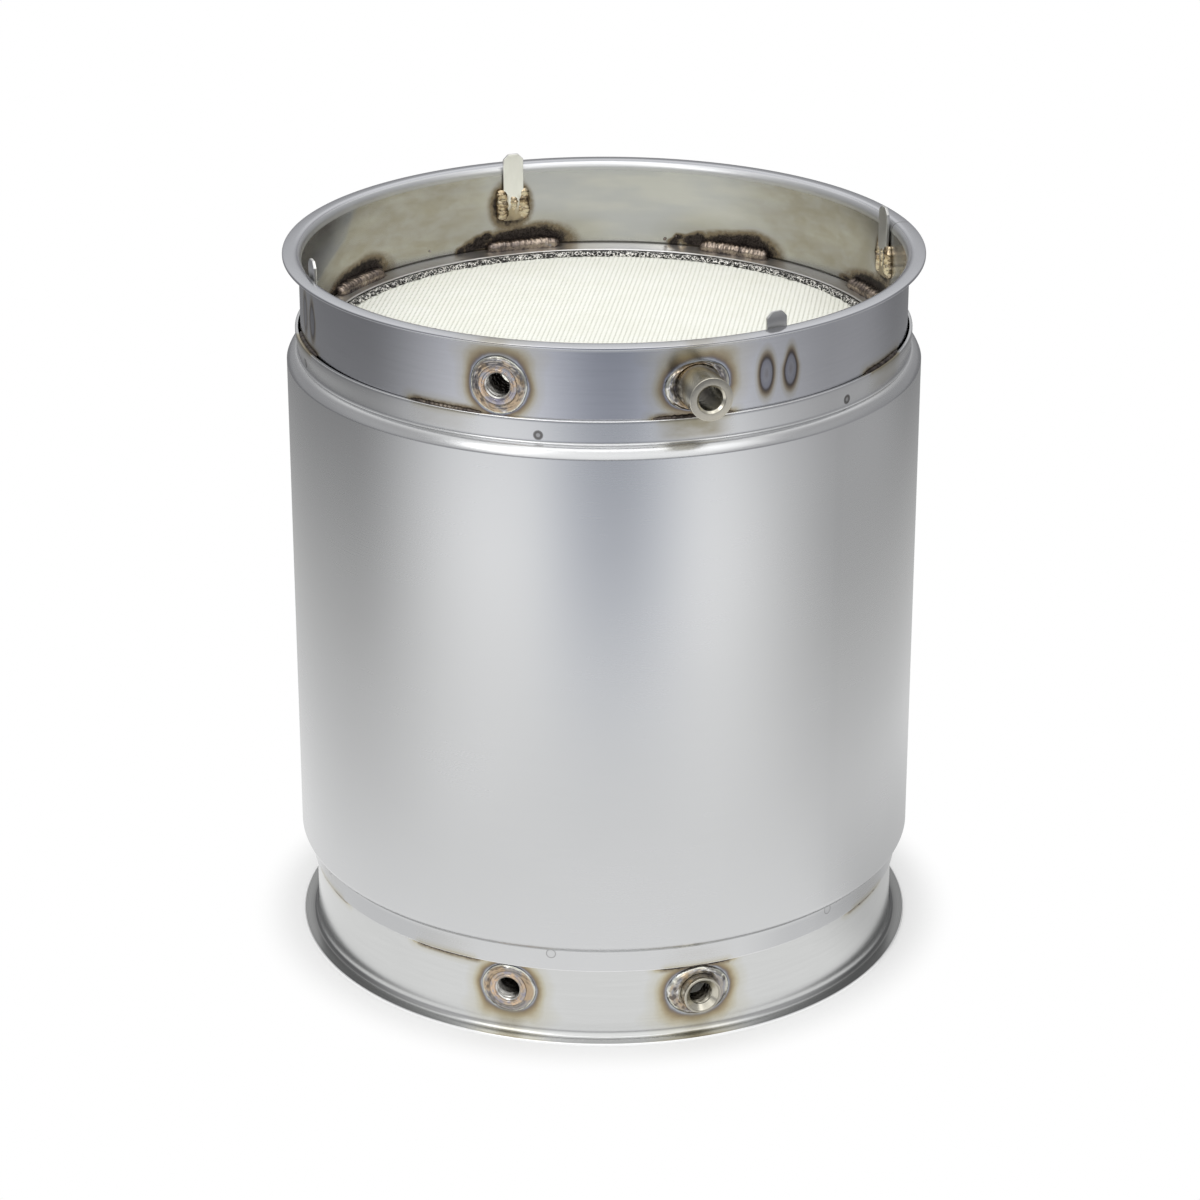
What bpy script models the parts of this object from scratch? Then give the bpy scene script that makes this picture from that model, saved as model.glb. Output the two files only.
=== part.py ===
"""Diesel particulate filter section: a ceramic wall-flow filter in a welded steel canister.

The axis is +Z and the lower rim lies on z = 0.  Azimuths are degrees from the front (-Y),
positive towards +X.  Both ends are alike, so the lower one is the upper one mirrored in height.
"""
import math

import bmesh
import bpy
from mathutils import Matrix, Vector

# Clearance left between pieces that touch, and round-ness of the turned work
FIT = 0.0003
SEGMENTS = 48
BOSS_SEGMENTS = 20

# Ceramic filter block
CERAMIC_RADIUS = 0.1524
CERAMIC_LENGTH = 0.2794
CELL_PITCH = 0.001796
CELL_DEPTH = 0.0020
CELL_TURN = -7.3

# Wrapping of the block, from the inside out
MAT_THICKNESS = 0.0035
MAT_MARGIN = 0.0127
CAN_SHEET = 0.0015
BLANKET_MARGIN = 0.0128

# End rings: the bowl is the space between the ceramic's face and the rim
BOWL_DEPTH = 0.0524
RING_SHEET = 0.0015
RING_OVERLAP = 0.0096
RIM_WIDTH = 0.0084
RIM_BEND = 0.0022
RIM_CHAMFER = 0.0004

# Heat shield
SHIELD_SHEET = 0.0015
SHOULDER_STEP = 0.0059
SHOULDER_HEIGHT = 0.0070
COLLAR_LENGTH = 0.0123
COLLAR_REACH = 0.0120
NECK_FILLET = 0.0012

# Wire rope on the ceramic's edge and the ring that holds it
SEAL_WIDTH = 0.0068
SEAL_HEIGHT = 0.0015
RETAINER_SHEET = 0.0012
RETAINER_LIP = 0.0029
RETAINER_NOSE = 0.0020
RETAINER_SLOPE = 0.20

# Stitch welds
STITCH_LEG = 0.0042
STITCH_LENGTH = 0.0400
COLLAR_STITCH_LEG = 0.0010
COLLAR_STITCH_LENGTH = 0.0420
WELD_SINK = 0.0004
WELD_TIP = 0.35
UPPER_STITCHES = (-121, -163, 152, 113, 68, 22, -30, -76)
LOWER_STITCHES = (-105, -150, 165, 120, 75, 30, -15, -60)
UPPER_COLLAR_STITCHES = (-119, -74, -29.5, 16, 63, 107, 152, 197)
LOWER_COLLAR_STITCHES = (-118, -67, -31, 17.5, 62, 107, 152, 197)

# Locating tabs inside the upper ring
TAB_AZIMUTHS = (32.6, 107.0, -161.0, -71.8)
TAB_NAMES = ("front", "right", "back", "left")
TAB_WIDTH = 0.0117
TAB_SHEET = 0.0016
TAB_LENGTH = 0.0384
TAB_RISE = 0.0067
TAB_CHAMFER = 0.0030
TAB_WELD_LENGTH = 0.0180
TAB_WELD_RADIUS = 0.0028
TAB_WELD_CROWN = 0.0010

# Threaded bosses
BORE_RADIUS = 0.0062
BOSS_EDGE = 0.0005
BOSS_WELD_CROWN = 0.0022
BOSS_WELD_TOE = 0.0006
BOSS_WELD_BACK = 0.4
BOSS_WELD_ROOM = 0.0018

# Places that follow from the sizes above
BODY_HEIGHT = CERAMIC_LENGTH + 2 * BOWL_DEPTH
CERAMIC_FACE = BODY_HEIGHT - BOWL_DEPTH
CAN_BORE = CERAMIC_RADIUS + FIT + MAT_THICKNESS + FIT
CAN_RADIUS = CAN_BORE + CAN_SHEET
RING_BORE = CAN_RADIUS + FIT
RING_RADIUS = RING_BORE + RING_SHEET
RIM_RADIUS = RING_RADIUS + RIM_WIDTH
RING_FOOT = CERAMIC_FACE - RING_OVERLAP
COLLAR_BORE = RING_RADIUS + FIT
COLLAR_RADIUS = COLLAR_BORE + SHIELD_SHEET
UPPER_COLLAR_END = CERAMIC_FACE + COLLAR_REACH
SHOULDER_TOP = UPPER_COLLAR_END - COLLAR_LENGTH
SHOULDER_BASE = SHOULDER_TOP - SHOULDER_HEIGHT
RING_EXPOSED = BODY_HEIGHT - UPPER_COLLAR_END
SEAL_TOP = CERAMIC_FACE + FIT + SEAL_HEIGHT
LIP_BOTTOM = SEAL_TOP + FIT
RETAINER_RADIUS = RING_BORE - FIT
RETAINER_BORE = CERAMIC_RADIUS - RETAINER_LIP
RETAINER_CREST = LIP_BOTTOM + RETAINER_SHEET


class Boss:
    """Sizes of one threaded boss: its place on the ring and how far it reaches out and in.

    stand is the distance from the shield's collar to the boss's axis, less where the rim comes near,
    and weld holds the half width and half height of the weld round it, which the collar and the rim's
    bend may limit.
    """

    def __init__(self, name, azimuth, stand, upper, radius, spigot, proud, depth, mouth, weld):
        wall_end = RING_EXPOSED - RIM_BEND - RING_SHEET
        stand = min(stand, wall_end - radius - BOSS_WELD_ROOM)
        self.name = name
        self.azimuth = azimuth
        self.height = UPPER_COLLAR_END + stand if upper else RING_EXPOSED - stand
        self.upper = upper
        self.radius = radius
        self.spigot = spigot
        self.proud = proud
        self.depth = depth
        self.mouth = mouth
        self.weld = (weld[0], min(weld[1], stand - FIT, wall_end - stand - FIT))


BOSSES = (
    Boss("upper_temperature_boss", -18.8, 0.0156, True, 0.0100, 0.0100, 0.0016, 0.0215, 0.0006,
         (0.0148, 0.0152)),
    Boss("upper_pressure_boss", 16.4, 0.0166, True, 0.0110, 0.0090, 0.0240, 0.0040, 0.0011,
         (0.0172, 0.0134)),
    Boss("lower_temperature_boss", -18.1, 0.0141, False, 0.0100, 0.0100, 0.0018, 0.0215, 0.0006,
         (0.0148, 0.0136)),
    Boss("lower_pressure_boss", 17.9, 0.0152, False, 0.0100, 0.0086, 0.0075, 0.0090, 0.0026,
         (0.0174, 0.0139)),
)


def retainer_top(radius):
    """Height of the upper retaining ring's band, which climbs outwards from its lip."""
    return RETAINER_CREST + RETAINER_SLOPE * (radius - RETAINER_BORE - RETAINER_NOSE)


def facet_radius(radius, azimuth):
    """Distance from the axis to the flat side that a turned piece of this radius has at an azimuth."""
    step = 2 * math.pi / SEGMENTS
    across = (math.radians(azimuth) - math.pi / 2) % step - step / 2
    return radius * math.cos(step / 2) / math.cos(across)


def arc(centre, radii, start, end, count):
    """Points on an ellipse arc in the (radius, height) plane, angles in degrees."""
    angles = [math.radians(start + (end - start) * k / (count - 1)) for k in range(count)]
    return [(centre[0] + radii[0] * math.cos(a), centre[1] + radii[1] * math.sin(a)) for a in angles]


def flipped(profile):
    """The same profile at the other end of the canister."""
    return [(radius, BODY_HEIGHT - height) for radius, height in profile]


def on_wall(azimuth, height):
    """Frame on the axis at a height: local X along the wall, Y up, Z outwards."""
    a = math.radians(azimuth)
    along = Vector((math.cos(a), math.sin(a), 0))
    out = Vector((math.sin(a), -math.cos(a), 0))
    frame = Matrix((along, Vector((0, 0, 1)), out)).transposed().to_4x4()
    frame.translation = Vector((0, 0, height))
    return frame


def finish_mesh(bm, name):
    """Turn a bmesh into an object with outward faces and smooth round sides."""
    bmesh.ops.recalc_face_normals(bm, faces=bm.faces)
    mesh = bpy.data.meshes.new(name)
    bm.to_mesh(mesh)
    bm.free()
    mesh.shade_smooth()
    mesh.set_sharp_from_angle(angle=math.radians(32))
    obj = bpy.data.objects.new(name, mesh)
    bpy.context.collection.objects.link(obj)
    return obj


def turned(name, profile, steps=SEGMENTS):
    """Spin a closed (radius, height) profile a full turn about Z."""
    bm = bmesh.new()
    verts = [bm.verts.new((radius, 0, height)) for radius, height in profile]
    edges = [bm.edges.new((verts[k - 1], verts[k])) for k in range(len(verts))]
    bmesh.ops.spin(bm, geom=verts + edges, cent=(0, 0, 0), axis=(0, 0, 1), dvec=(0, 0, 0),
                   angle=2 * math.pi, steps=steps, use_merge=True)
    return finish_mesh(bm, name)


def skin(bm, rings, closed):
    """Join matching rings of points with quads; an open run of rings gets end caps."""
    loops = [[bm.verts.new(point) for point in ring] for ring in rings]
    pairs = list(zip(loops, loops[1:]))
    if closed:
        pairs.append((loops[-1], loops[0]))
    for one, two in pairs:
        for k in range(len(one)):
            bm.faces.new((one[k - 1], one[k], two[k], two[k - 1]))
    if not closed:
        bm.faces.new(loops[0])
        bm.faces.new(loops[-1])


def prism(name, outline, low, high):
    """Extrude a closed (x, y) outline between two heights."""
    bm = bmesh.new()
    face = bm.faces.new([bm.verts.new((x, y, low)) for x, y in outline])
    extruded = bmesh.ops.extrude_face_region(bm, geom=[face])
    moved = [item for item in extruded["geom"] if isinstance(item, bmesh.types.BMVert)]
    bmesh.ops.translate(bm, verts=moved, vec=(0, 0, high - low))
    return finish_mesh(bm, name)


def round_bar(name, radius, low, high, steps):
    """A closed cylinder about Z."""
    turn = 2 * math.pi / steps
    outline = [(radius * math.cos(k * turn), radius * math.sin(k * turn)) for k in range(steps)]
    return prism(name, outline, low, high)


def tool(obj):
    """Mark an object as a cutting or joining body that is not part of the product."""
    obj.hide_render = True
    obj.display_type = "WIRE"
    return obj


def combine(obj, other, operation):
    """Add a live Boolean modifier."""
    modifier = obj.modifiers.new(operation.lower(), "BOOLEAN")
    modifier.operation = operation
    modifier.solver = "EXACT"
    modifier.object = other


def material(name, colour, metallic, roughness):
    """A plain finish."""
    mat = bpy.data.materials.new(name)
    mat.use_nodes = True
    shader = mat.node_tree.nodes["Principled BSDF"]
    shader.inputs["Base Color"].default_value = (*colour, 1)
    shader.inputs["Metallic"].default_value = metallic
    shader.inputs["Roughness"].default_value = roughness
    return mat


def paint(obj, mat):
    """Give an object its finish."""
    obj.data.materials.append(mat)
    return obj


def end_ring(name, lower, finish):
    """Flared end ring with the holes that its two bosses pass through."""
    bend_top = BODY_HEIGHT - RING_SHEET
    outer_bend = RIM_BEND + RING_SHEET
    centre = (RING_RADIUS + RIM_BEND, bend_top - RIM_BEND)
    profile = [(RING_BORE, RING_FOOT)]
    profile += arc(centre, (outer_bend, outer_bend), 180, 90, 3)
    profile += [(RIM_RADIUS - RIM_CHAMFER, BODY_HEIGHT), (RIM_RADIUS, BODY_HEIGHT - RIM_CHAMFER),
                (RIM_RADIUS, bend_top)]
    profile += arc(centre, (RIM_BEND, RIM_BEND), 90, 180, 3)
    profile.append((RING_RADIUS, RING_FOOT))
    ring = turned(name, flipped(profile) if lower else profile)
    for boss in BOSSES:
        if boss.upper != lower:
            hole = round_bar(boss.name + "_hole", boss.spigot + FIT, RING_RADIUS - boss.depth,
                             RING_RADIUS + boss.depth, BOSS_SEGMENTS)
            hole.matrix_world = on_wall(boss.azimuth, boss.height)
            combine(ring, tool(hole), "DIFFERENCE")
    return paint(ring, finish)


def corner_bead(bm, azimuth, length, section):
    """Weld bead along the wall: its section is a function of azimuth and of a size from 0 to 1."""
    half = math.degrees(length / 2 / RING_RADIUS)
    step = 360 / SEGMENTS
    corner = 90 - step * math.ceil((90 - azimuth + half) / step)
    stations = [azimuth - half, azimuth + half]
    while corner < azimuth + half:
        if abs(corner - azimuth) < half * 0.95:
            stations.append(corner)
        corner += step
    rings = []
    for at in sorted(stations):
        size = min(1, WELD_TIP + 3 * (1 - abs(at - azimuth) / half))
        a = math.radians(at)
        rings.append([(r * math.sin(a), -r * math.cos(a), z) for r, z in section(at, size)])
    skin(bm, rings, closed=False)


def retainer_bead(azimuth, size):
    """Fillet between the ring's bore and the retaining ring's band."""
    outside = facet_radius(RING_BORE, azimuth) - FIT - WELD_SINK / 2
    leg = STITCH_LEG * size
    inside = outside - leg
    return [(outside, retainer_top(outside) - WELD_SINK), (outside, retainer_top(outside) + leg),
            (outside - 0.66 * leg, retainer_top(outside) + 0.55 * leg),
            (inside, retainer_top(inside) - WELD_SINK)]


def collar_bead(azimuth, size):
    """Small fillet on the end of the shield's collar, against the end ring."""
    inside = facet_radius(RING_RADIUS, azimuth) + FIT + WELD_SINK / 2
    leg = COLLAR_STITCH_LEG * size
    return [(inside, UPPER_COLLAR_END - WELD_SINK), (inside, UPPER_COLLAR_END + leg),
            (inside + 0.7 * leg, UPPER_COLLAR_END + 0.7 * leg), (inside + leg, UPPER_COLLAR_END - WELD_SINK)]


def beads(name, azimuths, length, section, lower):
    """All the beads of one seam in one joining body."""
    bm = bmesh.new()
    for azimuth in azimuths:
        corner_bead(bm, azimuth, length,
                    (lambda at, size: flipped(section(at, size))) if lower else section)
    return tool(finish_mesh(bm, name))


def outer_shield(finish):
    """Heat shield drawn in at both ends to a collar, which is stitched to the end rings."""
    outside = arc((COLLAR_RADIUS, SHOULDER_BASE), (SHOULDER_STEP, SHOULDER_HEIGHT), 0, 78, 4)
    outside += arc((COLLAR_RADIUS + NECK_FILLET, SHOULDER_TOP + NECK_FILLET), (NECK_FILLET, NECK_FILLET),
                   250, 180, 2)
    outside.append((COLLAR_RADIUS, UPPER_COLLAR_END))
    inside = [(COLLAR_BORE, UPPER_COLLAR_END)]
    inside += arc((COLLAR_BORE, SHOULDER_BASE), (SHOULDER_STEP, SHOULDER_HEIGHT - SHIELD_SHEET), 90, 0, 3)
    top = outside + inside
    shield = turned("outer_shield", top + flipped(top)[::-1])
    upper = beads("upper_collar_beads", UPPER_COLLAR_STITCHES, COLLAR_STITCH_LENGTH, collar_bead, False)
    lower = beads("lower_collar_beads", LOWER_COLLAR_STITCHES, COLLAR_STITCH_LENGTH, collar_bead, True)
    combine(shield, upper, "UNION")
    combine(shield, lower, "UNION")
    return paint(shield, finish)


def sleeve(name, bore, radius, length, finish):
    """Plain tube centred on the canister's mid height."""
    low = (BODY_HEIGHT - length) / 2
    high = (BODY_HEIGHT + length) / 2
    return paint(turned(name, [(bore, low), (radius, low), (radius, high), (bore, high)]), finish)


def ceramic_filter(finish):
    """Ceramic block whose end faces are grooved along each diagonal row of open cells."""
    pitch = CELL_PITCH * math.sqrt(2)
    rows = math.floor((CERAMIC_RADIUS - pitch) / pitch)
    reach = CERAMIC_RADIUS + pitch
    low = -CERAMIC_LENGTH / 2
    edge = []
    for row in range(-rows, rows + 1):
        start = row * pitch - pitch / 4
        end = row * pitch + pitch / 4
        edge += [(start, low), (start, low + CELL_DEPTH), (end, low + CELL_DEPTH), (end, low)]
    outline = [(-reach, low)] + edge + [(reach, low)]
    outline += [(x, -y) for x, y in outline[::-1]]
    comb = tool(prism("open_rows", outline, -reach, reach))
    comb.location = (0, 0, BODY_HEIGHT / 2)
    comb.rotation_euler = (math.pi / 2, 0, math.radians(CELL_TURN))
    block = round_bar("ceramic_filter", CERAMIC_RADIUS, BODY_HEIGHT / 2 + low - pitch, CERAMIC_FACE + pitch,
                      SEGMENTS)
    combine(block, comb, "INTERSECT")
    return paint(block, finish)


def mesh_seal(name, lower, finish):
    """Knitted wire rope, crowned where it stands clear of the retaining ring."""
    inner = CERAMIC_RADIUS - SEAL_WIDTH
    base = CERAMIC_FACE + FIT
    profile = [(inner, base), (inner + SEAL_HEIGHT / 2, SEAL_TOP), (CERAMIC_RADIUS, SEAL_TOP),
               (CERAMIC_RADIUS, base)]
    return paint(turned(name, flipped(profile) if lower else profile), finish)


def retaining_ring(name, azimuths, lower, finish):
    """Pressed ring whose rounded lip holds the wire rope, stitched to the end ring."""
    nose = RETAINER_BORE + RETAINER_NOSE
    half = RETAINER_SHEET / 2
    rise = retainer_top(RETAINER_RADIUS) - RETAINER_CREST
    profile = [(nose, LIP_BOTTOM), (RETAINER_BORE + half, LIP_BOTTOM), (RETAINER_BORE, LIP_BOTTOM + half),
               (nose, RETAINER_CREST), (RETAINER_RADIUS, RETAINER_CREST + rise),
               (RETAINER_RADIUS, LIP_BOTTOM + rise)]
    ring = turned(name, flipped(profile) if lower else profile)
    seam = beads(name + "_beads", azimuths, STITCH_LENGTH, retainer_bead, lower)
    combine(ring, seam, "UNION")
    return paint(ring, finish)


def threaded_boss(boss, finish):
    """Turned boss with a chamfered bore, passed through the ring's wall."""
    face = RING_RADIUS + boss.proud
    foot = RING_RADIUS + FIT
    tail = RING_RADIUS - boss.depth
    profile = [(BORE_RADIUS, tail), (BORE_RADIUS, face - boss.mouth), (BORE_RADIUS + boss.mouth, face),
               (boss.radius - BOSS_EDGE, face), (boss.radius, face - BOSS_EDGE)]
    if boss.spigot < boss.radius:
        profile += [(boss.radius, foot), (boss.spigot, foot)]
    profile.append((boss.spigot, tail))
    body = turned(boss.name, profile, BOSS_SEGMENTS)
    body.matrix_world = on_wall(boss.azimuth, boss.height)
    return paint(body, finish)


def boss_weld(boss, wall, finish):
    """Oval weld collar round a boss, bedded on the ring's wall."""
    bm = bmesh.new()
    inner = boss.radius + FIT
    wide, tall = boss.weld
    depth = RING_RADIUS - facet_radius(RING_RADIUS, 0) + wide ** 2 / RING_RADIUS
    section = ((0, -depth), (0, BOSS_WELD_CROWN - FIT), (BOSS_WELD_BACK, BOSS_WELD_CROWN), (1, BOSS_WELD_TOE),
               (1, -depth))
    if boss.proud < BOSS_WELD_CROWN:
        section = ((0, -depth), (0, boss.proud - FIT), (BOSS_WELD_BACK, boss.proud), (1, BOSS_WELD_TOE),
                   (1, -depth))
    rings = []
    for k in range(BOSS_SEGMENTS):
        a = 2 * math.pi * k / BOSS_SEGMENTS
        oval = wide * tall / math.hypot(tall * math.cos(a), wide * math.sin(a))
        reaches = [(inner + share * (oval - inner), rise) for share, rise in section]
        rings.append([(r * math.cos(a), r * math.sin(a), RING_RADIUS + rise) for r, rise in reaches])
    skin(bm, rings, closed=True)
    weld = finish_mesh(bm, boss.name + "_weld")
    weld.matrix_world = on_wall(boss.azimuth, boss.height)
    combine(weld, wall, "DIFFERENCE")
    return paint(weld, finish)


def locating_tab(label, azimuth, finish):
    """Flat tab with clipped corners, held to the ring's bore by a bead along each side."""
    half = TAB_WIDTH / 2
    outer = RING_BORE * math.cos(math.pi / SEGMENTS) - FIT
    top = TAB_RISE
    foot = TAB_RISE - TAB_LENGTH
    outline = [(-half, foot), (half, foot), (half, top - TAB_CHAMFER), (half - TAB_CHAMFER, top),
               (TAB_CHAMFER - half, top), (-half, top - TAB_CHAMFER)]
    tab = prism("locating_tab_" + label, outline, outer - TAB_SHEET, outer)
    tab.matrix_world = on_wall(azimuth, BODY_HEIGHT)
    base = outer - WELD_SINK / 2
    crown = TAB_SHEET + TAB_WELD_CROWN
    bm = bmesh.new()
    for side in (-half, half):
        rings = []
        for share, size in ((0, 0.4), (0.2, 1), (0.8, 1), (1, 0.4)):
            y = foot - WELD_SINK + share * TAB_WELD_LENGTH
            across = arc((side, base), (TAB_WELD_RADIUS * size, -crown * (0.5 + size / 2)), 0, 180, 5)
            rings.append([(x, y, z) for x, z in across])
        skin(bm, rings, closed=False)
    seam = tool(finish_mesh(bm, tab.name + "_beads"))
    seam.matrix_world = tab.matrix_world
    combine(tab, seam, "UNION")
    return paint(tab, finish)


def build():
    """Make every piece from the lower rim up, then hang them all on the canister's middle."""
    for obj in list(bpy.data.objects):
        bpy.data.objects.remove(obj, do_unlink=True)

    ring_steel = material("end_ring_steel", (0.42, 0.42, 0.43), 1.0, 0.38)
    shield_steel = material("shield_steel", (0.52, 0.52, 0.51), 1.0, 0.34)
    can_steel = material("can_steel", (0.38, 0.38, 0.38), 1.0, 0.40)
    retainer_steel = material("retainer_steel", (0.60, 0.57, 0.48), 0.8, 0.42)
    tab_steel = material("tab_steel", (0.58, 0.57, 0.53), 0.7, 0.50)
    boss_steel = material("boss_steel", (0.50, 0.46, 0.38), 1.0, 0.28)
    weld_metal = material("weld_metal", (0.30, 0.24, 0.20), 1.0, 0.35)
    cordierite = material("cordierite", (0.90, 0.88, 0.80), 0.0, 0.85)
    fibre = material("ceramic_fibre", (0.85, 0.84, 0.80), 0.0, 0.95)
    wire = material("knitted_wire", (0.22, 0.21, 0.20), 0.9, 0.45)

    outer_shield(shield_steel)
    blanket_end = CERAMIC_FACE - BLANKET_MARGIN
    blanket_radius = COLLAR_BORE + SHOULDER_STEP - FIT
    sleeve("insulation_blanket", CAN_RADIUS + FIT, blanket_radius, 2 * blanket_end - BODY_HEIGHT, fibre)
    can_end = retainer_top(CAN_BORE) - RETAINER_SHEET - FIT
    sleeve("filter_can", CAN_BORE, CAN_RADIUS, 2 * can_end - BODY_HEIGHT, can_steel)
    mat_length = CERAMIC_LENGTH - 2 * MAT_MARGIN
    sleeve("support_mat", CERAMIC_RADIUS + FIT, CAN_BORE - FIT, mat_length, fibre)
    ceramic_filter(cordierite)

    for label, stitches, lower in (("upper", UPPER_STITCHES, False), ("lower", LOWER_STITCHES, True)):
        end_ring(label + "_end_ring", lower, ring_steel)
        retaining_ring(label + "_retaining_ring", stitches, lower, retainer_steel)
        mesh_seal(label + "_mesh_seal", lower, wire)

    wall = tool(round_bar("ring_wall", RING_RADIUS + FIT, 0, BODY_HEIGHT, SEGMENTS))
    for boss in BOSSES:
        threaded_boss(boss, boss_steel)
        boss_weld(boss, wall, weld_metal)
    for label, azimuth in zip(TAB_NAMES, TAB_AZIMUTHS):
        locating_tab(label, azimuth, tab_steel)

    canister = bpy.data.objects.new("canister", None)
    canister.location.z = -BODY_HEIGHT / 2
    for obj in bpy.context.collection.objects:
        obj.parent = canister
    bpy.context.collection.objects.link(canister)


build()
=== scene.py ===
import math
from collections import namedtuple

import bpy
import numpy as np
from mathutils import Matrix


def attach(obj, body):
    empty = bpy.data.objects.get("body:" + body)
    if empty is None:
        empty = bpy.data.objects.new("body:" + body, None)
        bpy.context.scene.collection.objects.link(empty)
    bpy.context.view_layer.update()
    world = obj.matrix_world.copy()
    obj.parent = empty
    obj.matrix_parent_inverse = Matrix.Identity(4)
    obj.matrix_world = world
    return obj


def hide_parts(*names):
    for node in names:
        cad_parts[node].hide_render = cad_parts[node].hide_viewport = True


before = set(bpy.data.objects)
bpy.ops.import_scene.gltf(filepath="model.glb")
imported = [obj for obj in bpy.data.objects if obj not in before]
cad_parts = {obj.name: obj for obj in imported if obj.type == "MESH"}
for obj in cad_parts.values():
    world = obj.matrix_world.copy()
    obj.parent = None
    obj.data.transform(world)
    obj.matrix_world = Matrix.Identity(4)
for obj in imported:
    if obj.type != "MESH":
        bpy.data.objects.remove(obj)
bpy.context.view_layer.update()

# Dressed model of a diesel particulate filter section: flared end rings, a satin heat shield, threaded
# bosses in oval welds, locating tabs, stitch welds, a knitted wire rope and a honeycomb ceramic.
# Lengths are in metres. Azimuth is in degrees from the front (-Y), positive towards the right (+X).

HALF = 0.1921
SHEET = 0.0015
RIM = 0.1682
RING = 0.1598
BORE = RING - SHEET
FOOT = 0.1301
COLLAR = 0.1616
COLLAR_BORE = 0.1601
COLLAR_END = 0.1517
SHOULDER_TOP = 0.1394
SHOULDER_BASE = 0.1338
SHIELD = 0.1675
FACE = 0.1397
CERAMIC = 0.1524
LIP_BOTTOM = 0.1418
LIP_TOP = 0.1430
LIP = 0.1495
BAND = 0.1580
PITCH = 0.001796
CELL_TURN = 45 - 7.3

STITCHES = {1: (-121, -163, 152, 113, 68, 22, -30, -76), -1: (-105, -150, 165, 120, 75, 30, -15, -60)}
STITCH_LENGTH = 0.0440
COLLAR_STITCHES = {1: (-119, -74, -29.5, 16, 63, 107, 152, 197),
                   -1: (-118, -67, -31, 17.5, 62, 107, 152, 197)}
COLLAR_STITCH_LENGTH = 0.0420
TABS = {"front": 32.6, "right": 107.0, "back": -161.0, "left": -71.8}

# Boss: azimuth, height, radius, radius of the spigot in the wall, stand outside the wall, depth inside it,
# chamfer of the mouth, and the weld's half width and half height
Boss = namedtuple("Boss", "azimuth height radius spigot stand depth mouth wide tall")
BOSSES = {
    "upper_temperature_boss": Boss(-18.8, 0.1673, 0.0100, 0.0100, 0.0016, 0.0215, 0.0006, 0.0148, 0.0152),
    "upper_pressure_boss": Boss(16.4, 0.1683, 0.0110, 0.0090, 0.0239, 0.004, 0.0011, 0.0172, 0.0134),
    "lower_temperature_boss": Boss(-18.1, -0.1658, 0.0100, 0.0100, 0.0018, 0.0215, 0.0006, 0.0148, 0.0136),
    "lower_pressure_boss": Boss(17.9, -0.1669, 0.0100, 0.0086, 0.0075, 0.009, 0.0026, 0.0174, 0.0139),
}

# Soot by itself on the upper ring's inside: azimuth, height and size in mm
LONE_SOOT = ((165.6, 145.8, 2.6), (164.6, 149.0, 2.2), (162.0, 147.4, 4.0), (160.0, 149.5, 4.0),
             (-151.6, 146.8, 4.2), (-153.6, 149.0, 4.4), (-155.2, 151.8, 3.2), (-149.4, 145.4, 3.0))

# The ends' bends: half width and half height of the bend, droop of the rim
FLARES = {1: (0.0042, 0.0043, 0.0004), -1: (0.0044, 0.0068, 0.0)}


# Surfaces


def smooth(value, low, high):
    """Rise from 0 at low to 1 at high with level ends: 3t^2 - 2t^3 of the share t."""
    t = np.clip((value - low) / (high - low), 0, 1)
    return t * t * (3 - 2 * t)


def ruffle(u, v, seed, octaves=5):
    """Unrepeating roughness, about -1 to 1: sine products summed, each turned by the golden angle."""
    total = np.zeros(np.broadcast(u, v).shape)
    for k in range(octaves):
        turn = 2.39996 * (k + seed)
        reach = 1.7 ** k
        across = u * math.cos(turn) + v * math.sin(turn)
        along = v * math.cos(turn) - u * math.sin(turn)
        first = np.sin(reach * across + 3.1 * seed + k)
        total = total + first * np.sin(0.83 * reach * along + 1.7 * k) / (1 + 0.5 * k)
    return total / 2.2


def arc(centre, radii, start, end, count):
    """Points on an ellipse: centre + (a cos t, b sin t) for t from start to end degrees."""
    t = np.radians(np.linspace(start, end, count))
    return np.stack([centre[0] + radii[0] * np.cos(t), centre[1] + radii[1] * np.sin(t)], -1)


def run(start, end, step):
    """Evenly spaced points on a straight line, about a step apart."""
    start, end = np.array(start, float), np.array(end, float)
    count = max(2, int(np.ceil(np.linalg.norm(end - start) / step)) + 1)
    return start + np.linspace(0, 1, count)[:, None] * (end - start)


def joined(*parts):
    """Profile made of parts laid end to end, with doubled points dropped."""
    points = np.concatenate([np.atleast_2d(np.array(p, float)) for p in parts])
    keep = np.linalg.norm(points - np.roll(points, 1, 0), axis=1) > 1e-7
    return points[keep]


def cells(rows, columns, closed):
    """Corner numbers of each cell of a grid whose columns, and rows too where closed, meet themselves."""
    r = np.arange(rows if closed else rows - 1)[:, None]
    c = np.arange(columns)[None, :]
    r2, c2 = (r + 1) % rows, (c + 1) % columns
    corners = [row * columns + column for row, column in ((r, c), (r, c2), (r2, c2), (r2, c))]
    return np.stack(corners, -1).reshape(-1, 4)


def looped(grid):
    """Closed skin over a grid that wraps both ways."""
    return grid.reshape(-1, 3), [cells(*grid.shape[:2], True)]


def capped(grid):
    """Closed skin over a row of closed sections, with a fan to the middle of the first and of the last."""
    rows, columns = grid.shape[:2]
    c = np.arange(columns)
    n = (c + 1) % columns
    base = (rows - 1) * columns
    first = np.full(columns, rows * columns)
    fans = np.concatenate([np.stack([first, n, c], -1), np.stack([first + 1, base + c, base + n], -1)])
    points = np.concatenate([grid.reshape(-1, 3), grid[:1].mean(1), grid[-1:].mean(1)])
    return points, [cells(rows, columns, False), fans]


def turned(r, z, a):
    """Points at radius r, height z and azimuth a in radians: (r sin a, -r cos a, z)."""
    r, z, a = np.broadcast_arrays(r, z, a)
    return np.stack([r * np.sin(a), -r * np.cos(a), z], -1)


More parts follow.
